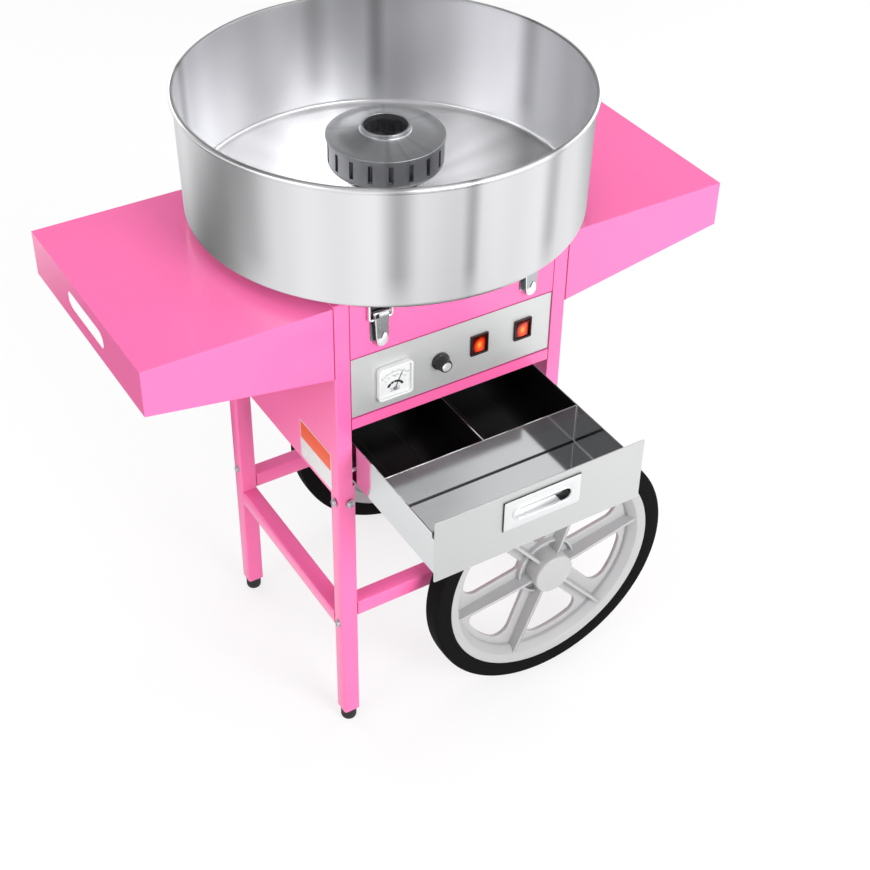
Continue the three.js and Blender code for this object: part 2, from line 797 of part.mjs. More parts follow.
// A domed ring that closes the head and leaves the mouth for the sugar.
function spinnerLid() {
  const seat = headFloor + headHeight + clearance;
  const crown = seat + lidRise;
  const collarTop = crown + lidCollar;
  const [rim, land, mouth] = [headRadius + 2, headRadius - 4 * headWall, lidOpening];
  return turned([
    [mouth - lidWall, crown - lidWall], [mouth, crown - lidWall], [land, seat], [rim, seat],
    [rim, seat + lidWall], [land, seat + lidWall], [mouth, crown], [mouth, collarTop],
    [mouth - lidWall, collarTop], [mouth - lidWall, crown - lidWall],
  ], facetsMedium);
}

function addDrive() {
  const motor = new THREE.Group();
  motor.position.set(motorX, motorY, 0);
  cart.add(motor);
  add(motor, 'motor', motorBody(), darkRubber);
  add(motor, 'motor_pulley', pulley(motorPulleyRadius, motorShaftRadius), castAluminium, 0, 0, pulleyBottom);
  add(cart, 'drive_belt', driveBelt(), darkRubber, 0, 0,
    pulleyBottom + pulleyHeight / 2 - beltHeight / 2);
  add(cart, 'brush_holder', brushHolder(), blackPlastic);
}

// The motor hangs from the deck with its shaft down.
function motorBody() {
  const top = deckBottom - clearance;
  const plateBottom = top - motorPlateThickness;
  const can = turned([
    [0, motorBottom], [motorEndRadius, motorBottom],
    [motorRadius - motorShoulder, motorBottom + motorEndDrop],
    [motorRadius, motorBottom + motorEndDrop + motorEndRise],
    [motorRadius, plateBottom + 1], [0, plateBottom + 1],
  ], facetsMedium);
  const plate = extrude(roundedShape(motorPlate, motorPlate, motorPlateCorner), motorPlateThickness, 2)
    .translate(0, 0, plateBottom);
  const shaft = disc(motorShaftRadius, pulleyBottom - motorShaftTail, motorBottom + 1, facetsSmall);
  return join(can, plate, shaft);
}

// The belt's loop: an arc round each pulley, joined by their outer tangents.
function driveBelt() {
  const distance = Math.hypot(motorX, motorY);
  const heading = Math.atan2(motorY, motorX);
  const [big, small] = [spinnerPulleyRadius, motorPulleyRadius].map((r) => r - grooveDepth + clearance);
  const loop = (extra, reverse) => {
    const lean = Math.acos((big - small) / distance);
    const shape = new THREE.Shape();
    shape.absarc(0, 0, big + extra, heading + lean, heading - lean + 2 * Math.PI);
    shape.absarc(motorX, motorY, small + extra, heading - lean, heading + lean);
    return reverse ? new THREE.Path(shape.getPoints(8).reverse()) : shape;
  };
  const shape = loop(beltThickness, false);
  shape.holes.push(loop(0, true));
  return extrude(shape, beltHeight, 8);
}

// Two carbon brushes in a block on the shelf, reaching to the slip rings.
function brushHolder() {
  const z = shelfTop + clearance;
  const face = -slipRadius - clearance;
  const blockEnd = -slipRadius - brushBlockGap;
  const [blockHalf, half] = [brushBlockWidth / 2, brushWidth / 2];
  const footMiddle = blockEnd - brushBlockLength / 2;
  const foot = block(footMiddle - brushFootLength / 2, footMiddle + brushFootLength / 2,
    -blockHalf, blockHalf, z, z + brushFootThickness);
  const post = block(blockEnd - brushBlockLength, blockEnd, -blockHalf, blockHalf,
    z, slipBottom + slipHeight + slipGap);
  const brushes = [0, 1].map((i) => {
    const middle = slipBottom + slipGap + slipLand / 2 + i * (slipLand + slipGap);
    return block(blockEnd - 1, face, -half, half, middle - brushHeight / 2, middle + brushHeight / 2);
  });
  return join(foot, post, ...brushes);
}

function addLatches() {
  for (const [side, sign] of [['left', -1], ['right', 1]]) {
    const pivot = new THREE.Group();
    pivot.position.set(sign * latchX, frontY - latchPivotOut, latchPivotZ);
    cart.add(pivot);
    add(pivot, `latch_base_${side}`, latchBase(), chrome);
    add(pivot, `latch_lever_${side}`, latchLever(), chrome);
    add(pivot, `latch_bail_${side}`, latchBail(), chrome, 0, 0, -bailDrop);
    add(pivot, `latch_catch_${side}`, latchCatch(), chrome);
  }
}

// The latch's plate with two ears and the pin that the lever turns on.
function latchBase() {
  const back = latchPivotOut - clearance;
  const ear = leverWidth / 2 + clearance;
  const plate = facing(roundedShape(latchPlateWidth, latchPlateTop - latchPlateBottom, latchPlateCorner, 0,
    (latchPlateTop + latchPlateBottom) / 2 - latchPivotZ), back - latchPlateThickness, back, 2);
  const root = back - latchPlateThickness / 2;
  const outline = new THREE.Shape();
  outline.moveTo(root, -latchEarRadius);
  outline.lineTo(root, latchEarRadius);
  outline.absarc(0, 0, latchEarRadius, Math.PI / 2, 1.5 * Math.PI);
  const pinEnd = ear + latchPinProud;
  const pin = disc(latchPinRadius, -pinEnd, pinEnd, 10).rotateY(Math.PI / 2);
  return join(plate, across(outline, ear, ear + latchEarThickness, 3),
    across(outline, -ear - latchEarThickness, -ear, 3), pin);
}

// A lever rolled round the pin, with two cheeks for the bail and a round finger tip.
function latchLever() {
  const half = leverWidth / 2;
  const barrel = latchPinRadius + clearance + leverThickness;
  const tipRadius = half - leverTipInset;
  const front = -barrel;
  const outline = new THREE.Shape();
  outline.moveTo(-half, leverShoulder);
  outline.lineTo(-tipRadius, -leverLength + tipRadius);
  outline.absarc(0, -leverLength + tipRadius, tipRadius, Math.PI, 2 * Math.PI);
  outline.lineTo(half, leverShoulder);
  const blade = facing(outline, front, front + leverThickness, 5);
  const roll = disc(barrel, -half, half, 12).rotateY(Math.PI / 2);
  const bore = disc(latchPinRadius + clearance, -half - 1, half + 1, 8).rotateY(Math.PI / 2);
  const cheekFront = front + leverThickness / 5;
  const cheek = polygon([
    [cheekFront, -cheekTop], [cheekFront, -cheekBottom], [cheekBack, -bailDrop - cheekBelow],
    [cheekNose, -bailDrop], [cheekBack, -bailDrop + cheekAbove],
  ]);
  const cheeks = [-half, half - leverThickness].map((x) => across(cheek, x, x + leverThickness));
  const bailBore = disc(bailRadius + clearance, -half - 1, half + 1, 8).rotateY(Math.PI / 2)
    .translate(0, 0, -bailDrop);
  return cut(join(blade, roll, ...cheeks), bore, bailBore);
}

// A wire loop: in at each cheek, up both sides and over the catch.
function latchBail() {
  const [side, end] = [bailWidth / 2, leverWidth / 2 - bailEndInset];
  const corners = [
    [-end, 0], [-side, 0], [-side, bailReach], [side, bailReach], [side, 0], [end, 0],
  ].map(([x, z]) => new THREE.Vector3(x, 0, z));
  const path = new THREE.CurvePath();
  let from = corners[0];
  for (let i = 1; i < corners.length - 1; i += 1) {
    const before = corners[i].clone().add(corners[i - 1].clone().sub(corners[i]).setLength(bailBend));
    const after = corners[i].clone().add(corners[i + 1].clone().sub(corners[i]).setLength(bailBend));
    path.add(new THREE.LineCurve3(from, before));
    path.add(new THREE.QuadraticBezierCurve3(before, corners[i], after));
    from = after;
  }
  path.add(new THREE.LineCurve3(from, corners.at(-1)));
  const sides = 5;
  const section = polygon(Array.from({ length: sides }, (_, i) => {
    const t = (2 * Math.PI * i) / sides;
    return [bailRadius * Math.cos(t), bailRadius * Math.sin(t)];
  }));
  return new THREE.ExtrudeGeometry(section, { steps: 26, extrudePath: path, curveSegments: 1 });
}

// The catch under the bowl: a top flange, a drop and a lip that the bail hooks over.
function latchCatch() {
  const lip = bailReach - bailDrop - bailRadius - clearance;
  const top = bowlBottom - clearance - latchPivotZ;
  const wall = bailRadius + catchGrip;
  const flange = wall + catchFlange;
  const hook = polygon([
    [-wall, lip - sheet], [wall, lip - sheet], [wall, top - sheet], [flange, top - sheet],
    [flange, top], [wall - sheet, top], [wall - sheet, lip], [-wall, lip],
  ]);
  return across(hook, -catchWidth / 2, catchWidth / 2);
}

function addDrawer() {
  const drawer = new THREE.Group();
  drawer.position.set(0, frontY - clearance - drawerOut, 0);
  cart.add(drawer);
  add(drawer, 'drawer_front', drawerFront(), brushed);
  add(drawer, 'drawer_box', drawerBox(), polished);
  add(drawer, 'drawer_partition', drawerPartition(), polished);
  add(drawer, 'drawer_pull', drawerPull(), polished, 0, -sheet - clearance, pullZ);
  add(cart, 'drawer_runner_left', mirroredX(drawerRunner()), brushed);
  add(cart, 'drawer_runner_right', drawerRunner(), brushed);
}

// Inside the drawer's group the back of the front plate is y = 0.
function drawerFront() {
  const [z0, z1] = [drawerFrontBottom, drawerFrontTop];
  const outline = roundedShape(drawerFrontWidth, z1 - z0, drawerFrontCorner, 0, (z0 + z1) / 2);
  const plate = facing(outline, -sheet, 0, 1);
  return cut(plate, pullCup(clearance, -sheet - 1, 1));
}

function pullCup(extra, y0, y1) {
  const h = pullSlotHeight + 2 * (sheet + extra);
  const shape = roundedShape(pullSlotWidth + 2 * (sheet + extra), h, h / 2 - 0.01);
  return facing(shape, y0, y1, 3).translate(0, 0, pullZ);
}

function drawerBox() {
  const [x, y0, y1] = [boxWidth / 2, clearance, clearance + boxLength];
  const outer = block(-x, x, y0, y1, boxBottom, boxTop);
  const inner = block(-x + boxWall, x - boxWall, y0 + boxWall, y1 - boxWall,
    boxBottom + boxWall, boxTop + 1);
  const notch = pullSlotWidth / 2 + sheet + pullRelief;
  const relief = block(-notch, notch, y0 - 1, y0 + boxWall + 1,
    pullZ - pullSlotHeight / 2 - sheet - pullRelief, boxTop + 1);
  return cut(outer, inner, relief);
}

// A partition across the drawer and a divider from it to the back wall.
function drawerPartition() {
  const x = boxWidth / 2 - boxWall - clearance;
  const back = clearance + boxLength - boxWall - clearance;
  const floor = boxBottom + boxWall + clearance;
  return join(
    block(-x, x, partitionSetback, partitionSetback + boxWall, floor, boxTop),
    block(-boxWall / 2, boxWall / 2, partitionSetback, back, floor, boxTop),
  );
}

// A stamped pull: a face plate with a long finger cup and a raised lip round it.
function drawerPull() {
  const face = facing(roundedShape(pullWidth, pullHeight, pullCorner), -sheet, 0, 2);
  const stadium = (extra) => {
    const h = pullSlotHeight + 2 * extra;
    return roundedShape(pullSlotWidth + 2 * extra, h, h / 2 - 0.01);
  };
  const lip = facing(stadium(pullLip), -sheet - pullProud, -pullWeld, 3);
  const cup = facing(stadium(sheet), -pullWeld, pullDepth, 3);
  return cut(join(face, lip, cup), facing(stadium(0), -sheet - pullProud - 1, pullDepth - sheet, 3));
}

// An angle between the legs that the drawer slides on.
function drawerRunner() {
  const x1 = sideX - sheet - clearance;
  const top = boxBottom - clearance;
  const profile = polygon([
    [x1, top], [x1 - runnerLip, top], [x1 - runnerLip, top - sheet], [x1 - sheet, top - sheet],
    [x1 - sheet, top - runnerDrop], [x1, top - runnerDrop],
  ]);
  const y = legY - tubeSize / 2 - clearance;
  return facing(profile, -y, y);
}

function addInlet() {
  const [w, h] = [inletSocketWidth / 2, inletSocketHeight / 2];
  const face = clearance + inletFlange;
  const flange = facing(roundedShape(inletWidth, inletHeight, inletCorner), clearance, face, 1);
  const shell = block(-w - sheet, w + sheet, -inletDepth, 1, -h - sheet, h + sheet);
  const socket = block(-w, w, -inletDepth + inletFloor, face + 1, -h, h);
  const pins = [-inletPinPitch, 0, inletPinPitch].map((x) => block(x - inletPinHalf, x + inletPinHalf,
    -inletDepth + inletFloor / 2, -inletPinInset, -inletPinRise, inletPinRise));
  add(cart, 'power_inlet', join(cut(join(flange, shell), socket), ...pins), blackPlastic,
    inletX, rearY, inletZ);
}

// Wheels. The wheel is drawn round Y with its outer face towards -Y and y = 0 at the tyre's
// outer face, then turned about for the back of the cart.
function wheelRim() {
  const outer = tyreBore - clearance;
  const back = (tyreWidth + rimWidth) / 2;
  const front = (tyreWidth - rimWidth) / 2 + rimLip;
  const band = turned([
    [rimInner, back], [rimInner, front + 2 * rimStep], [rimInner + rimStep, front + rimStep],
    [rimInner + 2 * rimStep, front + rimStep], [rimInner + 2 * rimStep + 1, front],
    [outer, front], [outer, back - rimLip], [outer - rimLip, back], [rimInner, back],
  ], facetsLarge);
  const bore = holeRound(axleRadius, facetsMedium);
  const boreEnd = axleEndInset - clearance;
  const hub = turned([
    [0, -hubProud], [hubRadius - hubBevel, -hubProud], [hubRadius, -hubProud + hubBevel],
    [hubRadius, hubInner], [bore, hubInner], [bore, boreEnd], [0, boreEnd],
  ], facetsMedium);
  const collar = ring(hubRadius - 1, collarRadius, back - collarHeight, back, facetsMedium);
  const pieces = [hub, collar];
  for (let i = 0; i < spokeCount; i += 1) {
    const turn = THREE.MathUtils.degToRad((360 / spokeCount) * i - spokeAngle);
    pieces.push(spoke(back, front).rotateZ(turn));
  }
  return join(band, ...pieces);
}

// A spoke is a flat plate at the wheel's back with a rib that rises to its front.
function spoke(back, front) {
  const plate = polygon([
    [hubRadius - 4, -spokeWidth / 2], [rimInner + 3, -spokeWidth / 2],
    [rimInner + 3, spokeWidth / 2], [hubRadius - 4, spokeWidth / 2],
  ]);
  const web = polygon([
    [hubRadius - 4, ribFront], [collarRadius, ribFront], [rimInner + 3, front + rimStep + 2],
    [rimInner + 3, back], [hubRadius - 4, back],
  ]);
  const rib = extrude(web, spokeRib).rotateX(Math.PI / 2).translate(0, spokeRib / 2, 0);
  return join(extrude(plate, spokePlate).translate(0, 0, back - spokePlate), rib);
}

function tyre() {
  const shoulder = wheelRadius - tyreEdge;
  const crown = [0, 1, 2, 3, 4].map((i) => {
    const turn = (Math.PI / 4) * (i - 2);
    const middle = tyreWidth / 2 + (tyreWidth / 2 - tyreEdge) * Math.sign(i - 2);
    return [shoulder + tyreEdge * Math.cos(turn), middle + tyreEdge * Math.sin(turn)];
  });
  return turned([
    [tyreBore, 0], ...crown, [tyreBore, tyreWidth], [tyreBore, 0],
  ], facetsLarge);
}

function addWheels() {
  for (const [name, turn, y] of [['front', -Math.PI / 2, -wheelPlane], ['rear', Math.PI / 2, wheelPlane]]) {
    const wheel = new THREE.Group();
    wheel.position.set(axleX, y, wheelRadius);
    wheel.rotation.x = turn;
    cart.add(wheel);
    add(wheel, `wheel_rim_${name}`, wheelRim(), greyPlastic);
    add(wheel, `tyre_${name}`, tyre(), darkRubber);
  }
}

addFrame();
addAxle();
addCabinet();
addControls();
addWings();
addSpinner();
addDrive();
addLatches();
addDrawer();
addInlet();
addWheels();

// The origin is on the floor under the middle of the whole object's box.
cart.updateMatrixWorld(true);
const middle = new THREE.Box3().setFromObject(cart).getCenter(new THREE.Vector3());
cart.position.set(-middle.x, -middle.y, 0);
cart.updateMatrixWorld(true);

export default cart;
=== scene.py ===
import json
import math
import bmesh
import bpy
import numpy as np
from mathutils import Matrix, Vector


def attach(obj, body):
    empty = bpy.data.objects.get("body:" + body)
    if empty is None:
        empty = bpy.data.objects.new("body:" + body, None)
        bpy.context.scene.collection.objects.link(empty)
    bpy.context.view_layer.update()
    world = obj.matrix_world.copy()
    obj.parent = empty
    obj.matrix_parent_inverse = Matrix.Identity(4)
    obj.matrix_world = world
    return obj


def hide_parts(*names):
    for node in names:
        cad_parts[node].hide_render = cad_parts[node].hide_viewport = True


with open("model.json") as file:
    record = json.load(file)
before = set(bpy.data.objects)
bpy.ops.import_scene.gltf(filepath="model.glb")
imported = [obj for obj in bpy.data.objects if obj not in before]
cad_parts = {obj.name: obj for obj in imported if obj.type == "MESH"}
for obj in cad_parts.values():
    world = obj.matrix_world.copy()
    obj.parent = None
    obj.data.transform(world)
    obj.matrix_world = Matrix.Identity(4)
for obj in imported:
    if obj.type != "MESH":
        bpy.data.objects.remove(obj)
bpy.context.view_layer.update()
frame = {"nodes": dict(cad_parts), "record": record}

scene = bpy.context.scene
scene.view_settings.view_transform = "Standard"
print("frame loaded:", len(frame["nodes"]), "nodes")

# The upright axis of the bowl and the spinner, in millimetres and in metres
axisPlace, axisMetres = (0, 59.05, 0), (0, 0.05905, 0)

# Which body carries each node, and which finish the record gives it
bodyOf = {node: body for body, nodes in frame["record"]["behaviour"]["bodies"].items() for node in nodes}
slotOf = {row["node"]: row["material_slot"] for row in frame["record"]["subparts"]}


# The camera at the photograph's angle
cameraSetup = {
    "place": (-0.88679, -1.47746, 1.81417),
    "azimuth": -32.22,
    "elevation": 37.86,
    "roll": 1.15,
    "lens": 65.134,
    "shiftUp": -0.0471,
}


# The camera looks back along its own Z, which is turned round by azimuth, tilted by elevation and rolled
def makeCamera(setup):
    turn, lift, roll = (math.radians(setup[key]) for key in ("azimuth", "elevation", "roll"))
    back = Vector((math.sin(turn) * math.cos(lift), -math.cos(turn) * math.cos(lift), math.sin(lift)))
    right = Vector((math.cos(turn), math.sin(turn), 0))
    up = back.cross(right)
    rolledRight = right * math.cos(roll) + up * math.sin(roll)
    rolledUp = up * math.cos(roll) - right * math.sin(roll)
    data = bpy.data.cameras.new("photoCamera")
    data.sensor_width = 36
    data.lens = setup["lens"]
    data.shift_y = setup["shiftUp"]
    data.clip_end = 50
    camera = bpy.data.objects.new("photoCamera", data)
    scene.collection.objects.link(camera)
    facing = Matrix((rolledRight, rolledUp, back)).transposed().to_4x4()
    camera.matrix_world = Matrix.Translation(Vector(setup["place"])) @ facing
    scene.camera = camera


makeCamera(cameraSetup)
print("camera placed")


# A colour written as the eye sees it, 0 to 255, in the linear values that shaders take
def tint(red, green, blue):
    seen = np.array([red, green, blue]) / 255
    linear = np.where(seen <= 0.04045, seen / 12.92, ((seen + 0.055) / 1.055) ** 2.4)
    return (*linear.tolist(), 1.0)


# Each value goes to the socket of its name, as a link where it is a socket itself
def fill(tree, sockets, values):
    for key, value in values.items():
        if isinstance(value, bpy.types.NodeSocket):
            tree.links.new(value, sockets[key])
        else:
            sockets[key].default_value = value


# Adds a node, sets its options, and fills its inputs
def put(tree, kind, inputs=None, **options):
    node = tree.nodes.new("ShaderNode" + kind)
    for key, value in options.items():
        setattr(node, key, value)
    fill(tree, node.inputs, inputs or {})
    return node.outputs


# One Math node
def mathOf(tree, operation, first, second=0.0):
    return put(tree, "Math", {0: first, 1: second}, operation=operation)[0]


# A node group with named inputs, each with its kind and default, and named outputs
def newEffect(name, inputs, outputs):
    group = bpy.data.node_groups.new(name, "ShaderNodeTree")
    for title, kind, value in inputs:
        group.interface.new_socket(title, in_out="INPUT", socket_type="NodeSocket" + kind).default_value = value
    for title, kind in outputs:
        group.interface.new_socket(title, in_out="OUTPUT", socket_type="NodeSocket" + kind)
    taken = group.nodes.new("NodeGroupInput").outputs
    given = group.nodes.new("NodeGroupOutput").inputs
    return group, taken, given


# Places a group in a material with its own values
def useEffect(tree, group, inputs):
    node = tree.nodes.new("ShaderNodeGroup")
    node.node_tree = group
    fill(tree, node.inputs, inputs)
    return node.outputs


# One noise texture's value, 0 to 1
def noiseOf(tree, point, scale, detail, **more):
    return put(tree, "TexNoise", {"Vector": point, "Scale": scale, "Detail": detail, **more})[0]


# The colour with its value times 1 plus an amount of what the noise lies above its middle
def drifting(tree, noise, amount, colour):
    away = mathOf(tree, "MULTIPLY", mathOf(tree, "SUBTRACT", noise, 0.5), amount)
    return put(tree, "HueSaturation", {"Value": mathOf(tree, "ADD", 1.0, away), "Color": colour})[0]


# A base value plus an amount of the noise
def raised(tree, base, noise, amount):
    return mathOf(tree, "ADD", base, mathOf(tree, "MULTIPLY", noise, amount))


# Links each value to the group's output of that name
def giveAll(group, given, values):
    for key, value in values.items():
        group.links.new(value, given[key])
    return group


# The inputs that each grain takes, and what it puts out
grainInputs = [("Point", "Vector", (0, 0, 0)), ("Colour", "Color", (1, 1, 1, 1))]
grainOutputs = [("Colour", "Color"), ("Roughness", "Float"), ("Height", "Float")]


# Powder coat: a fine orange-peel height, and a tone that drifts a little over the sheet
def makePaintSkin():
    group, taken, given = newEffect("paintSkin", grainInputs + [
        ("Peel", "Float", 900.0), ("Drift", "Float", 0.05), ("Gloss", "Float", 0.3)], grainOutputs)
    peel = noiseOf(group, taken["Point"], taken["Peel"], 2.0)
    broad = noiseOf(group, taken["Point"], 7.0, 3.0)
    return giveAll(group, given, {
        "Colour": drifting(group, broad, taken["Drift"], taken["Colour"]),
        "Roughness": raised(group, taken["Gloss"], peel, 0.06), "Height": peel})


# Brushed or spun metal: streaks along the stretched direction of Point, fine ones and broad ones
def makeMetalGrain():
    group, taken, given = newEffect("metalGrain", grainInputs + [
        ("Depth", "Float", 0.12), ("Gloss", "Float", 0.25), ("Spread", "Float", 0.12)], grainOutputs)
    fine = noiseOf(group, taken["Point"], 1.0, 4.0, Roughness=0.6)
    wide = noiseOf(group, taken["Point"], 0.17, 2.0)
    streak = raised(group, mathOf(group, "MULTIPLY", fine, 0.65), wide, 0.35)
    return giveAll(group, given, {
        "Colour": drifting(group, streak, taken["Depth"], taken["Colour"]),
        "Roughness": raised(group, taken["Gloss"], streak, taken["Spread"]), "Height": fine})


# Handling marks: soft patches a few centimetres wide that dull a polished face
def makeHandling():
    group, taken, given = newEffect(
        "handling", [("Point", "Vector", (0, 0, 0)), ("Size", "Float", 22.0), ("Amount", "Float", 0.08)],
        [("Mask", "Float")])
    patch = noiseOf(group, taken["Point"], taken["Size"], 5.0)
    spread = put(group, "MapRange", {"Value": patch, "From Min": 0.42, "From Max": 0.72})[0]
    return giveAll(group, given, {"Mask": mathOf(group, "MULTIPLY", spread, taken["Amount"])})


# Moulded plastic or rubber: a fine grain height and a slightly uneven tone
def makeMouldGrain():
    group, taken, given = newEffect("mouldGrain", grainInputs + [
        ("Grain", "Float", 1500.0), ("Drift", "Float", 0.08), ("Gloss", "Float", 0.45)], grainOutputs)
    grain = noiseOf(group, taken["Point"], taken["Grain"], 1.0)
    cloud = noiseOf(group, taken["Point"], 18.0, 4.0)
    return giveAll(group, given, {
        "Colour": drifting(group, cloud, taken["Drift"], taken["Colour"]),
        "Roughness": raised(group, taken["Gloss"], cloud, 0.12), "Height": grain})


# Coordinates round an upright axis: radius, height and a little of the angle
def makeRoundPoint():
    group, taken, given = newEffect(
        "roundPoint",
        [("Point", "Vector", (0, 0, 0)), ("Middle", "Vector", (0, 0, 0)), ("Lines", "Float", 700.0)],
        [("Point", "Vector")])
    local = put(group, "VectorMath", {0: taken["Point"], 1: taken["Middle"]}, operation="SUBTRACT")[0]
    part = put(group, "SeparateXYZ", {0: local})
    flat = put(group, "CombineXYZ", {"X": part["X"], "Y": part["Y"]})[0]
    radius = put(group, "VectorMath", {0: flat}, operation="LENGTH")["Value"]
    turn = mathOf(group, "ARCTAN2", part["Y"], part["X"])
    across = mathOf(group, "MULTIPLY", radius, taken["Lines"])
    high = mathOf(group, "MULTIPLY", part["Z"], taken["Lines"])
    along = mathOf(group, "MULTIPLY", mathOf(group, "SINE", turn), 0.6)
    return giveAll(group, given, {"Point": put(group, "CombineXYZ", {"X": across, "Y": along, "Z": high})[0]})


# Painted reflection on spun steel: fans of light and dark in its colour stand in for the soft bands it reflects. The
# tone is 1, plus sines of 3 and 23 waves a turn, minus a few dark fans, each a bell of the angle from its own heading
# that fades towards Foot
paintedReflectionBells = ((-117.0, 6.0, 1.3), (-98.0, 3.2, 1.2), (-156.0, 8.0, 0.8), (-72.0, 5.0, 1.0), (12.0, 6.0, 1.1),
            (63.0, 4.0, 1.2), (82.0, 6.0, 0.9), (141.0, 5.0, 1.2))


def makePaintedReflectionFan(bells):
    group, taken, given = newEffect("spunFan", grainInputs + [
        ("Middle", "Vector", (0, 0, 0)), ("Amount", "Float", 0.1), ("Foot", "Float", 0.0)], [("Colour", "Color")])
    local = put(group, "VectorMath", {0: taken["Point"], 1: taken["Middle"]}, operation="SUBTRACT")[0]
    part = put(group, "SeparateXYZ", {0: local})
    turn = mathOf(group, "ARCTAN2", part["Y"], part["X"])
    fade = put(group, "MapRange", {
        "Value": mathOf(group, "SUBTRACT", part["Z"], taken["Foot"]), "From Max": 0.045, "To Min": 0.25})[0]
    total = 0.0
    for waves, share, shift in ((3.0, 0.12, 0.4), (23.0, 0.1, 1.1)):
        wave = mathOf(group, "SINE", mathOf(group, "ADD", mathOf(group, "MULTIPLY", turn, waves), shift))
        total = raised(group, total, wave, share)
    for heading, half, depth in bells:
        off = mathOf(group, "ABSOLUTE", mathOf(group, "SUBTRACT", turn, math.radians(heading)))
        bell = put(group, "MapRange", {"Value": off, "From Min": math.radians(half), "From Max": 0.0,
                                       "To Max": depth}, interpolation_type="SMOOTHSTEP")[0]
        total = mathOf(group, "SUBTRACT", total, mathOf(group, "MULTIPLY", bell, fade))
    tone = raised(group, 1.0, total, taken["Amount"])
    return giveAll(group, given, {
        "Colour": put(group, "HueSaturation", {"Value": tone, "Color": taken["Colour"]})[0]})


paintSkin, metalGrain, handling = makePaintSkin(), makeMetalGrain(), makeHandling()
mouldGrain, roundPoint, spunFan = makeMouldGrain(), makeRoundPoint(), makePaintedReflectionFan(paintedReflectionBells)


# A new material, its node tree and the inputs of its shader
def newFinish(name):
    material = bpy.data.materials.new(name)
    material.use_nodes = True
    tree = material.node_tree
    return material, tree, tree.nodes["Principled BSDF"].inputs


# Bump whose Distance is a real depth in metres
def bumpOf(tree, height, depth, strength=1.0):
    return put(tree, "Bump", {"Height": height, "Distance": depth, "Strength": strength})[0]


# The piece's own coordinates, stretched
def objectPoint(tree, scale=(1, 1, 1)):
    point = put(tree, "TexCoord")["Object"]
    return put(tree, "Mapping", {"Vector": point, "Scale": scale})[0]


pinkPaint = {"colour": (250, 110, 173), "gloss": 0.26, "drift": 0.06, "peel": 700.0, "coat": 0.5}


# Powder coat under a clear coat
def makePinkPaint(look):
    material, tree, sockets = newFinish("pinkPaint")
    skin = useEffect(tree, paintSkin, {
        "Point": objectPoint(tree), "Colour": tint(*look["colour"]), "Peel": look["peel"],
        "Drift": look["drift"], "Gloss": look["gloss"]})
    fill(tree, sockets, {
        "Base Color": skin["Colour"], "Roughness": skin["Roughness"], "Coat Weight": look["coat"],
        "Coat Roughness": 0.12, "Normal": bumpOf(tree, skin["Height"], 0.00002)})
    return material


# A metal with straight brushing; stretch is small along the strokes and large across them
def makeBrushed(name, look):
    material, tree, sockets = newFinish(name)
    grain = useEffect(tree, metalGrain, {
        "Point": objectPoint(tree, look["stretch"]), "Colour": tint(*look["colour"]),
        "Depth": look["depth"], "Gloss": look["gloss"], "Spread": look["spread"]})
    marks = useEffect(tree, handling, {"Point": objectPoint(tree), "Amount": look["marks"]})
    fill(tree, sockets, {
        "Base Color": grain["Colour"], "Metallic": look["metal"],
        "Roughness": mathOf(tree, "ADD", grain["Roughness"], marks["Mask"]),
        "Normal": bumpOf(tree, grain["Height"], look["groove"])})
    return material


# A spun or turned metal; its lines run round the axis, it reflects wider along them, and its colour carries the
# painted reflection fans
def makeSpun(name, look):
    material, tree, sockets = newFinish(name)
    place = put(tree, "TexCoord")["Object"]
    point = useEffect(tree, roundPoint, {"Point": place, "Middle": look["middle"], "Lines": look["lines"]})["Point"]
    fan = useEffect(tree, spunFan, {
        "Point": place, "Middle": look["middle"], "Colour": tint(*look["colour"]), "Amount": look["fan"],
        "Foot": look["reflectionFanFoot"]})
    grain = useEffect(tree, metalGrain, {
        "Point": point, "Colour": fan["Colour"], "Depth": look["depth"],
        "Gloss": look["gloss"], "Spread": look["spread"]})
    fill(tree, sockets, {
        "Base Color": grain["Colour"], "Metallic": 1.0, "Roughness": grain["Roughness"],
        "Anisotropic": look["anisotropic"], "Tangent": put(tree, "Tangent", direction_type="UV_MAP")[0],
        "Normal": bumpOf(tree, grain["Height"], look["groove"])})
    return material


# Plastic, rubber or enamel with the moulded grain
def makeMoulded(name, look):
    material, tree, sockets = newFinish(name)
    grain = useEffect(tree, mouldGrain, {
        "Point": objectPoint(tree), "Colour": tint(*look["colour"]), "Grain": look["grain"],
        "Drift": look["drift"], "Gloss": look["gloss"]})
    fill(tree, sockets, {
        "Base Color": grain["Colour"], "Roughness": grain["Roughness"], "Specular IOR Level": look.get("shine", 0.5),
        "Normal": bumpOf(tree, grain["Height"], look["pit"])})
    return material


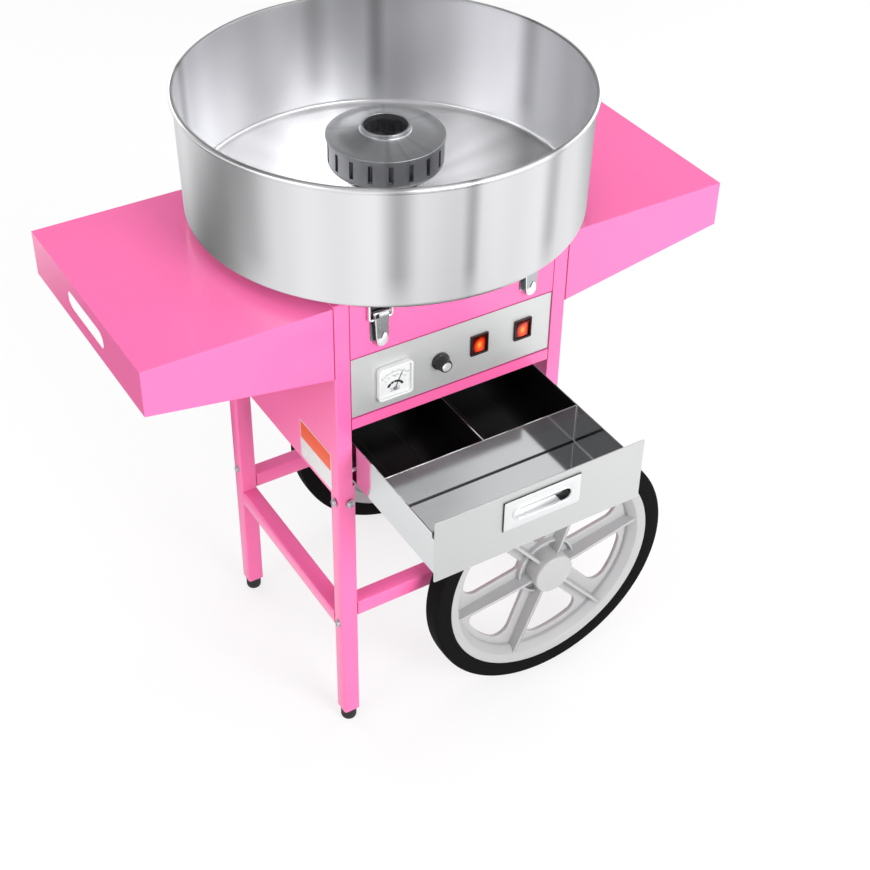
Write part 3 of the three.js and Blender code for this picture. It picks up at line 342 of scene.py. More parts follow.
brushedLooks = {
    "panelSteel": {"colour": (216, 217, 217), "stretch": (6, 400, 1400), "depth": 0.1, "gloss": 0.42,
                   "spread": 0.12, "marks": 0.05, "groove": 0.000005, "metal": 0.65},
    "frontSteel": {"colour": (208, 209, 209), "stretch": (6, 400, 1400), "depth": 0.08, "gloss": 0.34,
                   "spread": 0.12, "marks": 0.05, "groove": 0.000004, "metal": 0.72},
    "drawerSteel": {"colour": (214, 215, 216), "stretch": (14, 14, 500), "depth": 0.05, "gloss": 0.05,
                    "spread": 0.05, "marks": 0.03, "groove": 0.000002, "metal": 1.0},
    "zincSteel": {"colour": (200, 201, 204), "stretch": (90, 90, 90), "depth": 0.22, "gloss": 0.3,
                  "spread": 0.2, "marks": 0.1, "groove": 0.000006, "metal": 1.0},
    "latchChrome": {"colour": (196, 198, 201), "stretch": (60, 60, 900), "depth": 0.05, "gloss": 0.2,
                    "spread": 0.08, "marks": 0.08, "groove": 0.000002, "metal": 1.0},
    # This finish serves the real chrome of the bails and the knob cap, and also the painted highlights on the levers
    # and in the drawer
    "chromeAndHighlight": {"colour": (238, 239, 240), "stretch": (60, 60, 900), "depth": 0.03, "gloss": 0.2,
                     "spread": 0.05, "marks": 0.03, "groove": 0.000001, "metal": 0.5},
    "pullSteel": {"colour": (226, 227, 228), "stretch": (14, 14, 500), "depth": 0.03, "gloss": 0.3,
                  "spread": 0.05, "marks": 0.03, "groove": 0.000001, "metal": 0.6},
}
spunLooks = {
    # The fan value is how strong the painted reflection fans are in the colour, and the fan foot the height from
    # which they fade
    "bowlSteel": {"colour": (232, 232, 234), "middle": axisMetres, "lines": 900.0, "depth": 0.05,
                  "gloss": 0.3, "spread": 0.06, "anisotropic": 0.6, "groove": 0.000001, "fan": 0.34,
                  "reflectionFanFoot": 0.763},
    "castAluminium": {"colour": (198, 199, 202), "middle": axisMetres, "lines": 500.0, "depth": 0.14,
                      "gloss": 0.3, "spread": 0.16, "anisotropic": 0.35, "groove": 0.000004, "fan": 0.12,
                      "reflectionFanFoot": 0.76},
}
mouldedLooks = {
    "greyPlastic": {"colour": (177, 177, 178), "grain": 1300.0, "drift": 0.05, "gloss": 0.36, "pit": 0.00003},
    "tyreRubber": {"colour": (14, 14, 15), "grain": 900.0, "drift": 0.3, "gloss": 0.7, "pit": 0.00006, "shine": 0.08},
    "switchFrameRed": {"colour": (30, 8, 7), "grain": 1600.0, "drift": 0.1, "gloss": 0.22, "pit": 0.00001},
    "blackRubber": {"colour": (30, 30, 31), "grain": 900.0, "drift": 0.3, "gloss": 0.6, "pit": 0.00006},
    "blackPlastic": {"colour": (24, 23, 24), "grain": 1600.0, "drift": 0.15, "gloss": 0.3, "pit": 0.00002},
    "whitePlastic": {"colour": (224, 225, 225), "grain": 1800.0, "drift": 0.03, "gloss": 0.2, "pit": 0.00001},
    "motorEnamel": {"colour": (46, 46, 50), "grain": 500.0, "drift": 0.2, "gloss": 0.34, "pit": 0.00004},
    "signRed": {"colour": (238, 92, 48), "grain": 1800.0, "drift": 0.04, "gloss": 0.3, "pit": 0.00001},
    "dialInk": {"colour": (126, 126, 130), "grain": 1800.0, "drift": 0.1, "gloss": 0.5, "pit": 0.00001},
    # Deep pink for the painted shade in the seams of the front
    "seamShadePink": {"colour": (170, 36, 104), "grain": 1300.0, "drift": 0.05, "gloss": 0.5, "pit": 0.00001},
    "trayRib": {"colour": (44, 44, 45), "grain": 900.0, "drift": 0.2, "gloss": 0.3, "pit": 0.00002},
    # This black serves the tray liners and also the painted shade: the lever marks, the latch shade, the pull's shade
    # and the drawer's dark lines
    "linerBlack": {"colour": (15, 15, 16), "grain": 900.0, "drift": 0.2, "gloss": 0.18, "pit": 0.00002},
}
finishes = {"pinkPaint": makePinkPaint(pinkPaint)}
for makeFinish, looks in ((makeBrushed, brushedLooks), (makeSpun, spunLooks), (makeMoulded, mouldedLooks)):
    for title, look in looks.items():
        finishes[title] = makeFinish(title, look)

rockerGlow = {"middle": (0.56, 0.4), "hot": (255, 140, 52), "warm": (222, 56, 20), "dim": (60, 8, 7),
              "strength": 0.75}


# A lit rocker: brightest where the lamp sits behind it, dark red at its edges, by distance on its own UV map
def makeSwitchAmber(look):
    material, tree, sockets = newFinish("switchAmber")
    flat = put(tree, "UVMap", uv_map="faceMap")[0]
    away = put(tree, "VectorMath", {0: flat, 1: (*look["middle"], 0)}, operation="SUBTRACT")[0]
    squeezed = put(tree, "VectorMath", {0: away, 1: (1.25, 0.9, 0)}, operation="MULTIPLY")[0]
    distance = put(tree, "VectorMath", {0: squeezed}, operation="LENGTH")["Value"]
    ramp = tree.nodes.new("ShaderNodeValToRGB")
    tree.links.new(distance, ramp.inputs[0])
    for place, key in ((0.03, "hot"), (0.26, "warm"), (0.56, "dim")):
        stop = ramp.color_ramp.elements.new(place)
        stop.color = tint(*look[key])
    ramp.color_ramp.elements.remove(ramp.color_ramp.elements[0])
    ramp.color_ramp.elements.remove(ramp.color_ramp.elements[-1])
    fill(tree, sockets, {"Base Color": ramp.outputs[0], "Emission Color": ramp.outputs[0],
                         "Emission Strength": look["strength"], "Roughness": 0.18})
    return material


finishes["switchAmber"] = makeSwitchAmber(rockerGlow)

slotFinish = {
    "pink_paint": "pinkPaint", "bowl_steel": "bowlSteel", "panel_steel": "panelSteel",
    "drawer_steel": "drawerSteel", "zinc_steel": "zincSteel", "latch_chrome": "latchChrome",
    "cast_aluminium": "castAluminium", "motor_enamel": "motorEnamel", "black_rubber": "blackRubber",
    "tyre_rubber": "tyreRubber", "grey_plastic": "greyPlastic", "black_plastic": "blackPlastic",
    "white_plastic": "whitePlastic", "switch_amber": "switchAmber",
}
print("finishes made:", len(finishes))


# Everything below is in millimetres until makePiece puts it into a mesh in metres

# A point on a grid is joined to its next in both directions; a closed direction joins back to its start
def gridPart(points, closeRows=False, closeColumns=False, capStart=False, capEnd=False, mapped=False):
    rows, columns = points.shape[:2]
    index = np.arange(rows * columns).reshape(rows, columns)
    caps = [index[0].tolist()] if capStart else []
    caps += [index[-1].tolist()] if capEnd else []
    if closeRows:
        index = np.vstack([index, index[:1]])
    if closeColumns:
        index = np.hstack([index, index[:, :1]])
    quads = np.stack([index[:-1, :-1], index[:-1, 1:], index[1:, 1:], index[1:, :-1]], -1).reshape(-1, 4)
    across, along = np.meshgrid(np.linspace(0, 1, columns), np.linspace(0, 1, rows))
    flat = np.stack([across, along], -1).reshape(-1, 2) if mapped else np.zeros((rows * columns, 2))
    return {"points": points.reshape(-1, 3), "faces": quads.tolist() + caps, "flat": flat}


# The same part turned by a 3x3 matrix and then moved
def moved(part, turn=None, to=(0, 0, 0)):
    turn = np.eye(3) if turn is None else np.asarray(turn, float)
    return {**part, "points": part["points"] @ turn.T + np.asarray(to, float)}


# The matrix that turns a part about its own Z
def aboutZ(turn):
    c, s = math.cos(turn), math.sin(turn)
    return [[c, -s, 0], [s, c, 0], [0, 0, 1]]


toFront = np.array([[1, 0, 0], [0, 0, -1], [0, 1, 0]])     # local X right, Y up, Z out of the front
toLeft = np.array([[0, 0, -1], [-1, 0, 0], [0, 1, 0]])     # local Z out of the left side
toRight = np.array([[0, 0, 1], [1, 0, 0], [0, 1, 0]])      # local Z out of the right side
toRear = np.array([[-1, 0, 0], [0, 0, 1], [0, 1, 0]])      # local Z out of the back


# Corners of a line are rounded: each gives a run from size before it to size after it, bent by a
# quadratic curve whose handle is the corner itself
def softLine(corners, size, steps=5, closed=False):
    corners = np.asarray(corners, float)
    size = np.broadcast_to(np.asarray(size, float), len(corners)).copy()
    before, after = np.roll(corners, 1, 0) - corners, np.roll(corners, -1, 0) - corners
    gapBefore, gapAfter = np.linalg.norm(before, axis=1), np.linalg.norm(after, axis=1)
    size = np.minimum(size, 0.48 * np.minimum(gapBefore, gapAfter))
    if not closed:
        size[[0, -1]] = 0
    start = corners + before / gapBefore[:, None] * size[:, None]
    end = corners + after / gapAfter[:, None] * size[:, None]
    t = np.linspace(0, 1, steps)[None, :, None]
    bent = (1 - t) ** 2 * start[:, None] + 2 * t * (1 - t) * corners[:, None] + t ** 2 * end[:, None]
    line = bent.reshape(-1, corners.shape[1])
    different = np.linalg.norm(np.diff(line, axis=0), axis=1) > 1e-6
    return line[np.concatenate([[True], different])]


# A profile of radius and height turned round the Z axis
def turned(profile, segments=96, closed=False):
    turn = np.linspace(0, 2 * np.pi, segments + 1)
    radius, height = profile[:, 0][:, None], profile[:, 1][:, None]
    points = np.stack([radius * np.cos(turn), radius * np.sin(turn), height + 0 * turn], -1)
    return gridPart(points, closeRows=closed, mapped=True)


# A rectangle about the origin with round corners
def roundedRectangle(width, height, radius, steps=9):
    w, h = width / 2, height / 2
    corners = [(w, -h), (w, h), (-w, h), (-w, -h)]
    return arcCorners(corners, radius, steps)


# A closed outline whose corners are true arcs: about each corner's inner point, a quarter turn
def arcCorners(corners, radius, steps):
    corners = np.asarray(corners, float)
    inner = corners - np.sign(corners) * radius
    first = np.radians([-90, 0, 90, 180])[:, None] + np.linspace(0, np.pi / 2, steps)[None, :]
    arcs = inner[:, None] + radius * np.stack([np.cos(first), np.sin(first)], -1)
    return arcs.reshape(-1, 2)


# The outline moved inwards by a distance, along the normal from each point's two neighbours
def inset(outline, distance):
    along = np.roll(outline, -1, 0) - np.roll(outline, 1, 0)
    along /= np.maximum(np.linalg.norm(along, axis=1), 1e-9)[:, None]
    return outline + distance * np.stack([-along[:, 1], along[:, 0]], -1)


# A quarter round from the flat to the wall: how far in and how far down each step is
def edgeRun(soft, steps=4):
    turn = np.linspace(0, np.pi / 2, steps)
    return soft * (1 - np.sin(turn)), soft * (1 - np.cos(turn))


# Rings of an outline and its height, as one grid of points
def ringed(rings):
    return np.stack([np.column_stack([line, np.full(len(line), z)]) for line, z in rings])


# A plate of any outline between two heights, with both edges rounded
def softSlab(outline, low, high, soft=0.4, steps=4):
    insets, drops = edgeRun(soft, steps)
    rings = [(i, low + d) for i, d in zip(insets, drops)]
    rings += [(i, high - d) for i, d in zip(insets[::-1], drops[::-1])]
    return gridPart(ringed([(inset(outline, i), z) for i, z in rings]), closeColumns=True, capStart=True, capEnd=True)


# A frame between an outer and an inner outline with as many points, all four edges rounded
def softFrame(outer, inner, low, high, soft=0.4, steps=4):
    insets, drops = edgeRun(soft, steps)
    rings = [(outer, i, low + d) for i, d in zip(insets, drops)]
    rings += [(outer, i, high - d) for i, d in zip(insets[::-1], drops[::-1])]
    rings += [(inner, -i, high - d) for i, d in zip(insets, drops)]
    rings += [(inner, -i, low + d) for i, d in zip(insets[::-1], drops[::-1])]
    return gridPart(ringed([(inset(line, i), z) for line, i, z in rings]), closeRows=True, closeColumns=True)


# A round section carried along a path: at each point it stands square to the path
def tubeAlong(path, radius, sides=12):
    along = np.gradient(path, axis=0)
    along /= np.linalg.norm(along, axis=1)[:, None]
    side = np.broadcast_to(np.array([0.0, 1.0, 0.0]), along.shape)
    other = np.cross(along, side)
    other /= np.linalg.norm(other, axis=1)[:, None]
    turn = np.linspace(0, 2 * np.pi, sides, endpoint=False)[None, :, None]
    points = path[:, None] + radius * (np.cos(turn) * side[:, None] + np.sin(turn) * other[:, None])
    return gridPart(points, closeColumns=True, capStart=True, capEnd=True)


# Puts the parts of one piece into a mesh at the origin, in metres, merged and facing outwards
def makePiece(name, parts, finish, body, nodes=(), sharp=38, outward=True):
    starts = np.cumsum([0] + [len(part["points"]) for part in parts])
    points = np.vstack([part["points"] for part in parts]) / 1000
    faces = [[i + start for i in face] for start, part in zip(starts, parts) for face in part["faces"]]
    mesh = bpy.data.meshes.new(name)
    mesh.from_pydata(points.tolist(), [], faces)
    flat = np.vstack([part["flat"] for part in parts])
    corner = np.empty(len(mesh.loops), dtype=np.int32)
    mesh.loops.foreach_get("vertex_index", corner)
    mesh.uv_layers.new(name="faceMap").data.foreach_set("uv", flat[corner].ravel())
    shaped = bmesh.new()
    shaped.from_mesh(mesh)
    bmesh.ops.remove_doubles(shaped, verts=shaped.verts, dist=2e-6)
    if outward:
        bmesh.ops.recalc_face_normals(shaped, faces=shaped.faces)
    shaped.to_mesh(mesh)
    shaped.free()
    mesh.shade_smooth()
    mesh.set_sharp_from_angle(angle=math.radians(sharp))
    mesh.materials.append(finishes[finish])
    piece = bpy.data.objects.new(name, mesh)
    scene.collection.objects.link(piece)
    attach(piece, body)
    if nodes:
        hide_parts(*nodes)
    return piece


# A node's own solid with its edges softened: a merged copy whose flat faces are whole again
def softNode(node, width=0.5, steps=2, finish=None, angle=28):
    mesh = frame["nodes"][node].data.copy()
    shaped = bmesh.new()
    shaped.from_mesh(mesh)
    bmesh.ops.remove_doubles(shaped, verts=shaped.verts, dist=1e-5)
    bmesh.ops.dissolve_limit(shaped, angle_limit=math.radians(0.6), verts=shaped.verts, edges=shaped.edges)
    shaped.to_mesh(mesh)
    shaped.free()
    words = node.split("_")
    name = words[0] + "".join(word.capitalize() for word in words[1:])
    mesh.name = name
    mesh.shade_smooth()
    mesh.set_sharp_from_angle(angle=math.radians(35))
    mesh.materials.clear()
    mesh.materials.append(finishes[finish or slotFinish[slotOf[node]]])
    piece = bpy.data.objects.new(name, mesh)
    scene.collection.objects.link(piece)
    bevel = piece.modifiers.new("softEdges", "BEVEL")
    bevel.width = width / 1000
    bevel.segments = steps
    bevel.limit_method = "ANGLE"
    bevel.angle_limit = math.radians(angle)
    bevel.harden_normals = True
    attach(piece, bodyOf[node])
    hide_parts(node)
    return piece


# Sheet metal and frame: the solids themselves, with each edge softened by so many millimetres
softEdges = {
    "leg_left_front": 1.4, "leg_left_rear": 1.4, "leg_right_front": 1.4, "leg_right_rear": 1.4,
    "rail_front": 1.4, "rail_rear": 1.4, "brace_left": 1.4, "brace_right": 1.4,
    "axle_bracket_front": 0.6, "axle_bracket_rear": 0.6, "side_panel_left": 0.5, "side_panel_right": 0.5,
    "front_upper_plate": 0.5, "drawer_lintel": 0.5, "rear_panel": 0.4, "deck_plate": 0.5,
    "machine_shelf": 0.4, "wing_left": 0.6, "wing_right": 0.6,
    "latch_base_left": 0.3, "latch_base_right": 0.3, "latch_lever_left": 0.35, "latch_lever_right": 0.35,
    "latch_catch_left": 0.3, "latch_catch_right": 0.3, "drawer_front": 0.35, "drawer_box": 0.3,
    "drawer_partition": 0.3, "drawer_runner_left": 0.4, "drawer_runner_right": 0.4, "power_inlet": 0.4,
}
# Steel beside these stays a clean grey: they are left out of what it reflects
hiddenFromSteel = ("wing_left", "wing_right", "front_upper_plate", "drawer_lintel", "rail_front", "rail_rear",
                   "brace_left", "brace_right", "side_panel_right", "leg_right_front")
for node, width in softEdges.items():
    piece = softNode(node, width, finish="frontSteel" if node == "drawer_front" else None)
    piece.visible_glossy = node not in hiddenFromSteel
keptSolids = ("motor", "motor_pulley", "drive_belt", "brush_holder", "bearing_housing", "spinner_pulley",
              "control_panel", "meter_needle")
for node in keptSolids:
    for carried in frame["nodes"][node].material_slots:
        carried.material = finishes["dialInk" if node == "meter_needle" else slotFinish[slotOf[node]]]
print("sheet metal and frame softened:", len(softEdges), "solids kept:", len(keptSolids))


# Painted shade in the seams: dark lines where two sheets of the front meet and shadow falls in the gap, each a thin
# strip of centre x, z, width, height
seamShade = {"y": -113.45, "proud": 0.14, "strips": (
    (0, 661.2, 301, 1.9), (0, 568.9, 301, 1.7), (-151.0, 648.6, 1.4, 195.2), (151.0, 648.6, 1.4, 195.2),
    (-172.7, 692.5, 1.5, 105), (172.7, 692.5, 1.5, 105))}


# Each strip of painted shade is a thin rounded slab that reaches a little into the sheet
def makeSeamShade(size):
    parts = []
    for x, z, width, height in size["strips"]:
        strip = softSlab(roundedRectangle(width, height, 0.2, 3), -0.6, size["proud"], 0.05, 2)
        parts.append(moved(strip, toFront, (x, size["y"], z)))
    return parts


makePiece("frontSeams", makeSeamShade(seamShade), "seamShadePink", "cart", sharp=60)
print("seams made")


# Bowl
bowl = {"radius": 260, "flare": 3, "bottom": 761, "height": 165, "wall": 2, "fillet": 9, "bead": 4,
        "footRadius": 130, "footBottom": 748.3, "neckRadius": 48, "neckHeight": 27, "middle": axisPlace}


# The bowl's wall is one line: under the floor, round the corner, up the flared side, round the
# rolled rim and down inside again; turned round its axis it closes on itself
def makeBowl(size):
    r, z, wall = size["radius"], size["bottom"], size["wall"]
    floor, top, rim = z + wall, z + size["height"], size["radius"] + size["flare"]
    foot, neck = size["footRadius"], size["neckRadius"]
    roll = np.radians(np.linspace(-90, 180, 19))
    bead = np.column_stack([rim + size["bead"] * np.cos(roll), top - size["bead"] + size["bead"] * np.sin(roll)])
    outside = softLine([(neck - wall, z), (foot - wall, z), (foot - wall, size["footBottom"]),
                        (foot, size["footBottom"]), (foot, z), (r, z), (rim, top - 2 * size["bead"])],
                       [0, 1, 0.5, 0.5, 1, size["fillet"], 0], 9)
    inside = softLine([(rim - wall, top - 2 * size["bead"]), (r - wall, floor), (neck, floor),
                       (neck, floor + size["neckHeight"]), (neck - wall, floor + size["neckHeight"]),
                       (neck - wall, z)], [0, size["fillet"] - wall, 3, 0.8, 0.8, 0], 9)
    return moved(turned(np.vstack([outside, bead[:-3], inside]), 256, closed=True), to=size["middle"])


makePiece("bowl", [makeBowl(bowl)], "bowlSteel", "cart", nodes=("bowl",), sharp=50)
print("bowl made")


# Spinner head
head = {"radius": 75, "floor": 812, "wall": 3, "height": 38, "slots": 18, "slotWidth": 6, "slotHeight": 24,
        "slotFoot": 9, "hubRadius": 15, "hubDrop": 18, "hubRise": 10, "bore": 6.3, "lidMouth": 32,
        "lidRise": 9, "lidCollar": 6, "lidWall": 3, "clearance": 0.3, "middle": axisPlace}


# The posts between the slots: blocks bent round the axis, from one slot's edge to the next
def makePosts(size):
    count, wall = size["slots"], size["wall"]
    half = size["slotWidth"] / 2 / size["radius"]
    pitch = 2 * np.pi / count
    low = size["floor"] + size["slotFoot"]
    high = low + size["slotHeight"]
    corners = [(size["radius"] - wall, low), (size["radius"], low), (size["radius"], high),
               (size["radius"] - wall, high)]
    section = np.array(corners)
    parts = []
    for post in range(count):
        middle = (post + 0.25 + 0.5) * pitch
        turn = middle + np.linspace(-1, 1, 7) * (pitch / 2 - half)
        points = np.stack([section[:, 0] * np.cos(turn)[:, None], section[:, 0] * np.sin(turn)[:, None],
                           section[:, 1] + 0 * turn[:, None]], -1)
        parts.append(gridPart(points, closeColumns=True, capStart=True, capEnd=True))
    return parts


# The dish under the slots and the ring over them, with the posts between the slots
def makeHead(size):
    r, wall, floor = size["radius"], size["wall"], size["floor"]
    hub, bore, chamfer = size["hubRadius"], size["bore"], 2 * size["wall"]
    low, high = floor + size["slotFoot"], floor + size["slotFoot"] + size["slotHeight"]
    dish = softLine([(bore, floor - size["hubDrop"]), (hub, floor - size["hubDrop"]), (hub, floor - wall),
                     (r - chamfer, floor - wall), (r, floor + wall), (r, low + 0.01), (r - wall, low + 0.01),
                     (r - wall, floor + wall), (r - wall - chamfer, floor), (hub, floor),
                     (hub, floor + size["hubRise"]), (bore, floor + size["hubRise"])],
                    [0.6, 0.8, 1, 3, 3, 0, 0, 2, 2, 1.5, 0.8, 0.6], 5, closed=True)
    ring = softLine([(r - wall, high - 0.01), (r, high - 0.01), (r, floor + size["height"]),
                     (r - wall, floor + size["height"])], [0, 0, 0.6, 0.6], 4, closed=True)
    parts = [turned(dish, 144, closed=True), turned(ring, 144, closed=True), *makePosts(size)]
    return [moved(part, to=size["middle"]) for part in parts]


# The lid's section: a rim on the ring, a rise to the crown and a collar, turned round the axis
def makeLid(size):
    seat = size["floor"] + size["height"] + size["clearance"]
    crown = seat + size["lidRise"]
    top = crown + size["lidCollar"]
    rim, land = size["radius"] + 2, size["radius"] - 4 * size["wall"]
    mouth, wall = size["lidMouth"], size["lidWall"]
    line = softLine([(mouth - wall, crown - wall), (mouth, crown - wall), (land, seat), (rim, seat),
                     (rim, seat + wall), (land, seat + wall), (mouth, crown), (mouth, top),
                     (mouth - wall, top)], [0.5, 1, 3, 0.6, 1, 6, 2.5, 0.9, 0.9], 6, closed=True)
    return moved(turned(line, 144, closed=True), to=size["middle"])


# The heating ribbon stands inside the slots: a zigzag band round the axis
heatRibbon = {"radius": 66, "low": 819, "high": 843, "waves": 60, "depth": 1.6, "thick": 0.5,
              "middle": axisPlace}


# Its radius goes up and down in a sine as it goes round; the section is a thin upright band
def makeRibbon(size):
    turn = np.linspace(0, 2 * np.pi, 12 * size["waves"], endpoint=False)
    wave = size["radius"] + size["depth"] * np.sin(size["waves"] * turn)
    section = [(0, size["low"]), (size["thick"], size["low"]), (size["thick"], size["high"]), (0, size["high"])]
    rings = np.stack([np.stack([(wave + out) * np.cos(turn), (wave + out) * np.sin(turn), high + 0 * turn], -1)
                      for out, high in section])
    return moved(gridPart(rings, closeRows=True, closeColumns=True), to=size["middle"])


makePiece("spinnerBase", makeHead(head), "castAluminium", "spinner", nodes=("spinner_base",), sharp=40)
makePiece("spinnerLid", [makeLid(head)], "castAluminium", "spinner", nodes=("spinner_lid",), sharp=50)
makePiece("heatingRibbon", [makeRibbon(heatRibbon)], "zincSteel", "spinner")

shaft = {"radius": 6, "bottom": 586, "top": 826, "slipRadius": 16, "slipBottom": 590, "land": 8, "gap": 2,
         "groove": 3, "middle": axisPlace}


# A rod's section with two lands between grooves for the slip rings, turned round the axis
def makeShaft(size):
    r, groove, slip = size["radius"], size["slipRadius"] - size["groove"], size["slipRadius"]
    z = size["slipBottom"]
    lands = [(edge, z + size["gap"] + i * (size["land"] + size["gap"]) + rise)
             for i in (0, 1) for edge, rise in ((groove, 0), (slip, 0), (slip, size["land"]), (groove, size["land"]))]
    end = z + 2 * size["land"] + 3 * size["gap"]
    line = softLine([(0, size["bottom"]), (r, size["bottom"]), (r, z), (groove, z), *lands, (groove, end),
                     (r, end), (r, size["top"]), (0, size["top"])], 0.5, 3)
    return moved(turned(line, 48), to=size["middle"])


makePiece("spinnerShaft", [makeShaft(shaft)], "zincSteel", "spinner", nodes=("spinner_shaft",), sharp=50)
print("spinner made")


# Wheels
wheel = {"radius": 198, "tyreBore": 172.5, "tyreWidth": 32, "tyreEdge": 8, "rimInner": 150, "rimWidth": 38,
         "step": 5, "lip": 4, "hubRadius": 33, "hubProud": 8, "hubInner": 42, "collarRadius": 48,
         "collarFront": 14, "collarWall": 3.5, "spokes": 6, "spokeAngle": 10, "spokeWidth": 36, "webFront": 21.5,
         "webBack": 28.5, "ring": 9, "roundOut": 20, "roundIn": 8, "rib": 5, "ribFront": 3, "bore": 8.4,
         "boreEnd": 3.7, "windowSoft": 1.4, "clearance": 0.3, "axle": (148, 59.05, 198), "plane": 224.5}


# How a wheel drawn facing down its own Z stands at the front or at the rear, and where its middle is
def standWheel(size, sign):
    x, y, z = size["axle"]
    return np.array([[1, 0, 0], [0, 0, sign], [0, -sign, 0]]), (x, y - sign * size["plane"], z)


# Points at a radius and a heading
def polar(radius, turn):
    return np.stack([radius * np.cos(turn), radius * np.sin(turn)], -1)


# Half a window and the half sector's own outline, point for point. The window runs from the middle of its
# inner arc round a fillet, out along the spoke's side, round a larger fillet to the middle of its outer arc.
# A fillet of radius f lies f beyond the spoke's side, so its centre's heading has the sine (side + f) / reach
def windowHalf(size):
    inner, outer, side = size["collarRadius"], size["rimInner"] - size["ring"], size["spokeWidth"] / 2
    small, large, middle, gap = size["roundIn"], size["roundOut"], math.pi / size["spokes"], 0.0002
    inTurn, outTurn = math.asin((side + small) / (inner + small)), math.asin((side + large) / (outer - large))
    inCentre, outCentre = polar(inner + small, inTurn), polar(outer - large, outTurn)
    window = np.vstack([
        polar(inner, np.linspace(middle, inTurn, 5)),
        inCentre + polar(small, np.linspace(inTurn + np.pi, 1.5 * np.pi, 7))[1:],
        outCentre + polar(large, np.linspace(-np.pi / 2, outTurn, 11)),
        polar(outer, np.linspace(outTurn, middle, 9))[1:]])
    low, high = size["hubRadius"] - 3, size["rimInner"] + 5
    edge = np.vstack([
        polar(low, np.linspace(middle, gap, 5)), polar(np.linspace(low, inCentre[0], 7)[1:], gap),
        polar(np.linspace(outCentre[0], high, 11), gap), polar(high, np.linspace(gap, middle, 9))[1:]])
    return window, edge


# One sixth of the wheel's web: each half is mirrored about the sector's middle, and rows run from the
# sector's outline over its face to the window's rounded edge, through it, and back over the other face
def webSector(size, number):
    front, back = size["webFront"], size["webBack"]
    pitch = 2 * math.pi / size["spokes"]
    mirror = np.array([[math.cos(pitch), math.sin(pitch)], [math.sin(pitch), -math.cos(pitch)]])
    window, edge = (np.vstack([half, (half @ mirror)[-2:0:-1]]) for half in windowHalf(size))
    insets, drops = edgeRun(size["windowSoft"], 4)
    rings = [(edge, front), *[(inset(window, -i), front + d) for i, d in zip(insets, drops)],
             *[(inset(window, -i), back - d) for i, d in zip(insets[::-1], drops[::-1])], (edge, back)]
    part = gridPart(ringed(rings), closeRows=True, closeColumns=True)
    return moved(part, aboutZ(number * pitch - math.radians(size["spokeAngle"])))


# A rib stands on each spoke's plate: an outline of reach and depth, as thick as the rib
def spokeRib(size, number):
    foot = size["webBack"] - 1
    front = (size["tyreWidth"] - size["rimWidth"]) / 2 + size["lip"]
    r, end = size["hubRadius"] - 4, size["rimInner"] + 1.6 * size["step"]
    outline = softLine([(r, foot), (r, size["ribFront"]), (size["collarRadius"], size["ribFront"]),
                        (end, front + size["step"] + 1), (end, foot)],
                       [0, 0, 5, 2, 0], 6, closed=True)
    part = softSlab(outline[::-1], -size["rib"] / 2, size["rib"] / 2, 1.2)
    upright = moved(part, [[1, 0, 0], [0, 0, 1], [0, 1, 0]])
    return moved(upright, aboutZ(2 * math.pi / size["spokes"] * number - math.radians(size["spokeAngle"])))


# The rim's stepped section and the hub's and collar's sections turned round, with six sectors and ribs
def makeRim(size):
    outer = size["tyreBore"] - size["clearance"]
    back = (size["tyreWidth"] + size["rimWidth"]) / 2
    front = (size["tyreWidth"] - size["rimWidth"]) / 2 + size["lip"]
    r, step = size["rimInner"], size["step"]
    band = softLine([(r, back), (r, front + 3 * step), (r + 1.5 * step, front + step),
                     (r + 1.8 * step, front + 0.6 * step), (outer, front), (outer, back - size["lip"]),
                     (outer - size["lip"], back)], [1.2, 2, 1, 1, 1, 1, 1], 5, closed=True)
    proud, hub = size["hubProud"], size["hubRadius"]
    hubLine = softLine([(0, -proud), (hub - 1, -proud), (hub, size["hubInner"]), (size["bore"], size["hubInner"]),
                        (size["bore"], size["boreEnd"]), (0, size["boreEnd"])], [0, 4, 1.5, 1, 0, 0], 7)
    collar, top, foot = size["collarRadius"], size["collarFront"], size["webBack"] - 1
    collarLine = softLine([(collar - size["collarWall"], foot), (collar - size["collarWall"], top), (collar, top),
                           (collar + 0.8, foot)], [0, 1.2, 1.2, 0], 6, closed=True)
    parts = [turned(band, 192, closed=True), turned(hubLine, 96), turned(collarLine, 96, closed=True)]
    parts += [webSector(size, number) for number in range(size["spokes"])]
    parts += [spokeRib(size, number) for number in range(size["spokes"])]
    return parts


# The tyre's section: a flat seat on the rim, straight walls with a shallow bead line, round shoulders
def makeTyre(size):
    bore, r, width, edge = size["tyreBore"], size["radius"], size["tyreWidth"], size["tyreEdge"]
    line = softLine([(bore, 0.8), (bore + 6, 0), (bore + 7, 0.7), (bore + 8, 0), (r - 1, 0), (r, edge),
                     (r, width - edge), (r - 1, width), (bore + 8, width), (bore + 7, width - 0.7),
                     (bore + 6, width), (bore, width - 0.8)],
                    [0.5, 0.5, 0.4, 0.5, 9, 7, 7, 9, 0.5, 0.4, 0.5, 0.5], 8, closed=True)
    return turned(line, 256, closed=True)


for side, sign in (("front", 1), ("rear", -1)):
    turn, place = standWheel(wheel, sign)
    parts = [moved(part, turn, place) for part in makeRim(wheel)]
    makePiece("wheelRim" + side.capitalize(), parts, "greyPlastic", "wheel_" + side, nodes=("wheel_rim_" + side,),
              sharp=42)
    makePiece("tyre" + side.capitalize(), [moved(makeTyre(wheel), turn, place)], "tyreRubber", "wheel_" + side,
              nodes=("tyre_" + side,), sharp=60)
print("wheels made")

axle = {"radius": 8, "collarRadius": 13, "collarInner": 175.3, "collarOuter": 182.2, "end": 220.5,
        "place": wheel["axle"]}


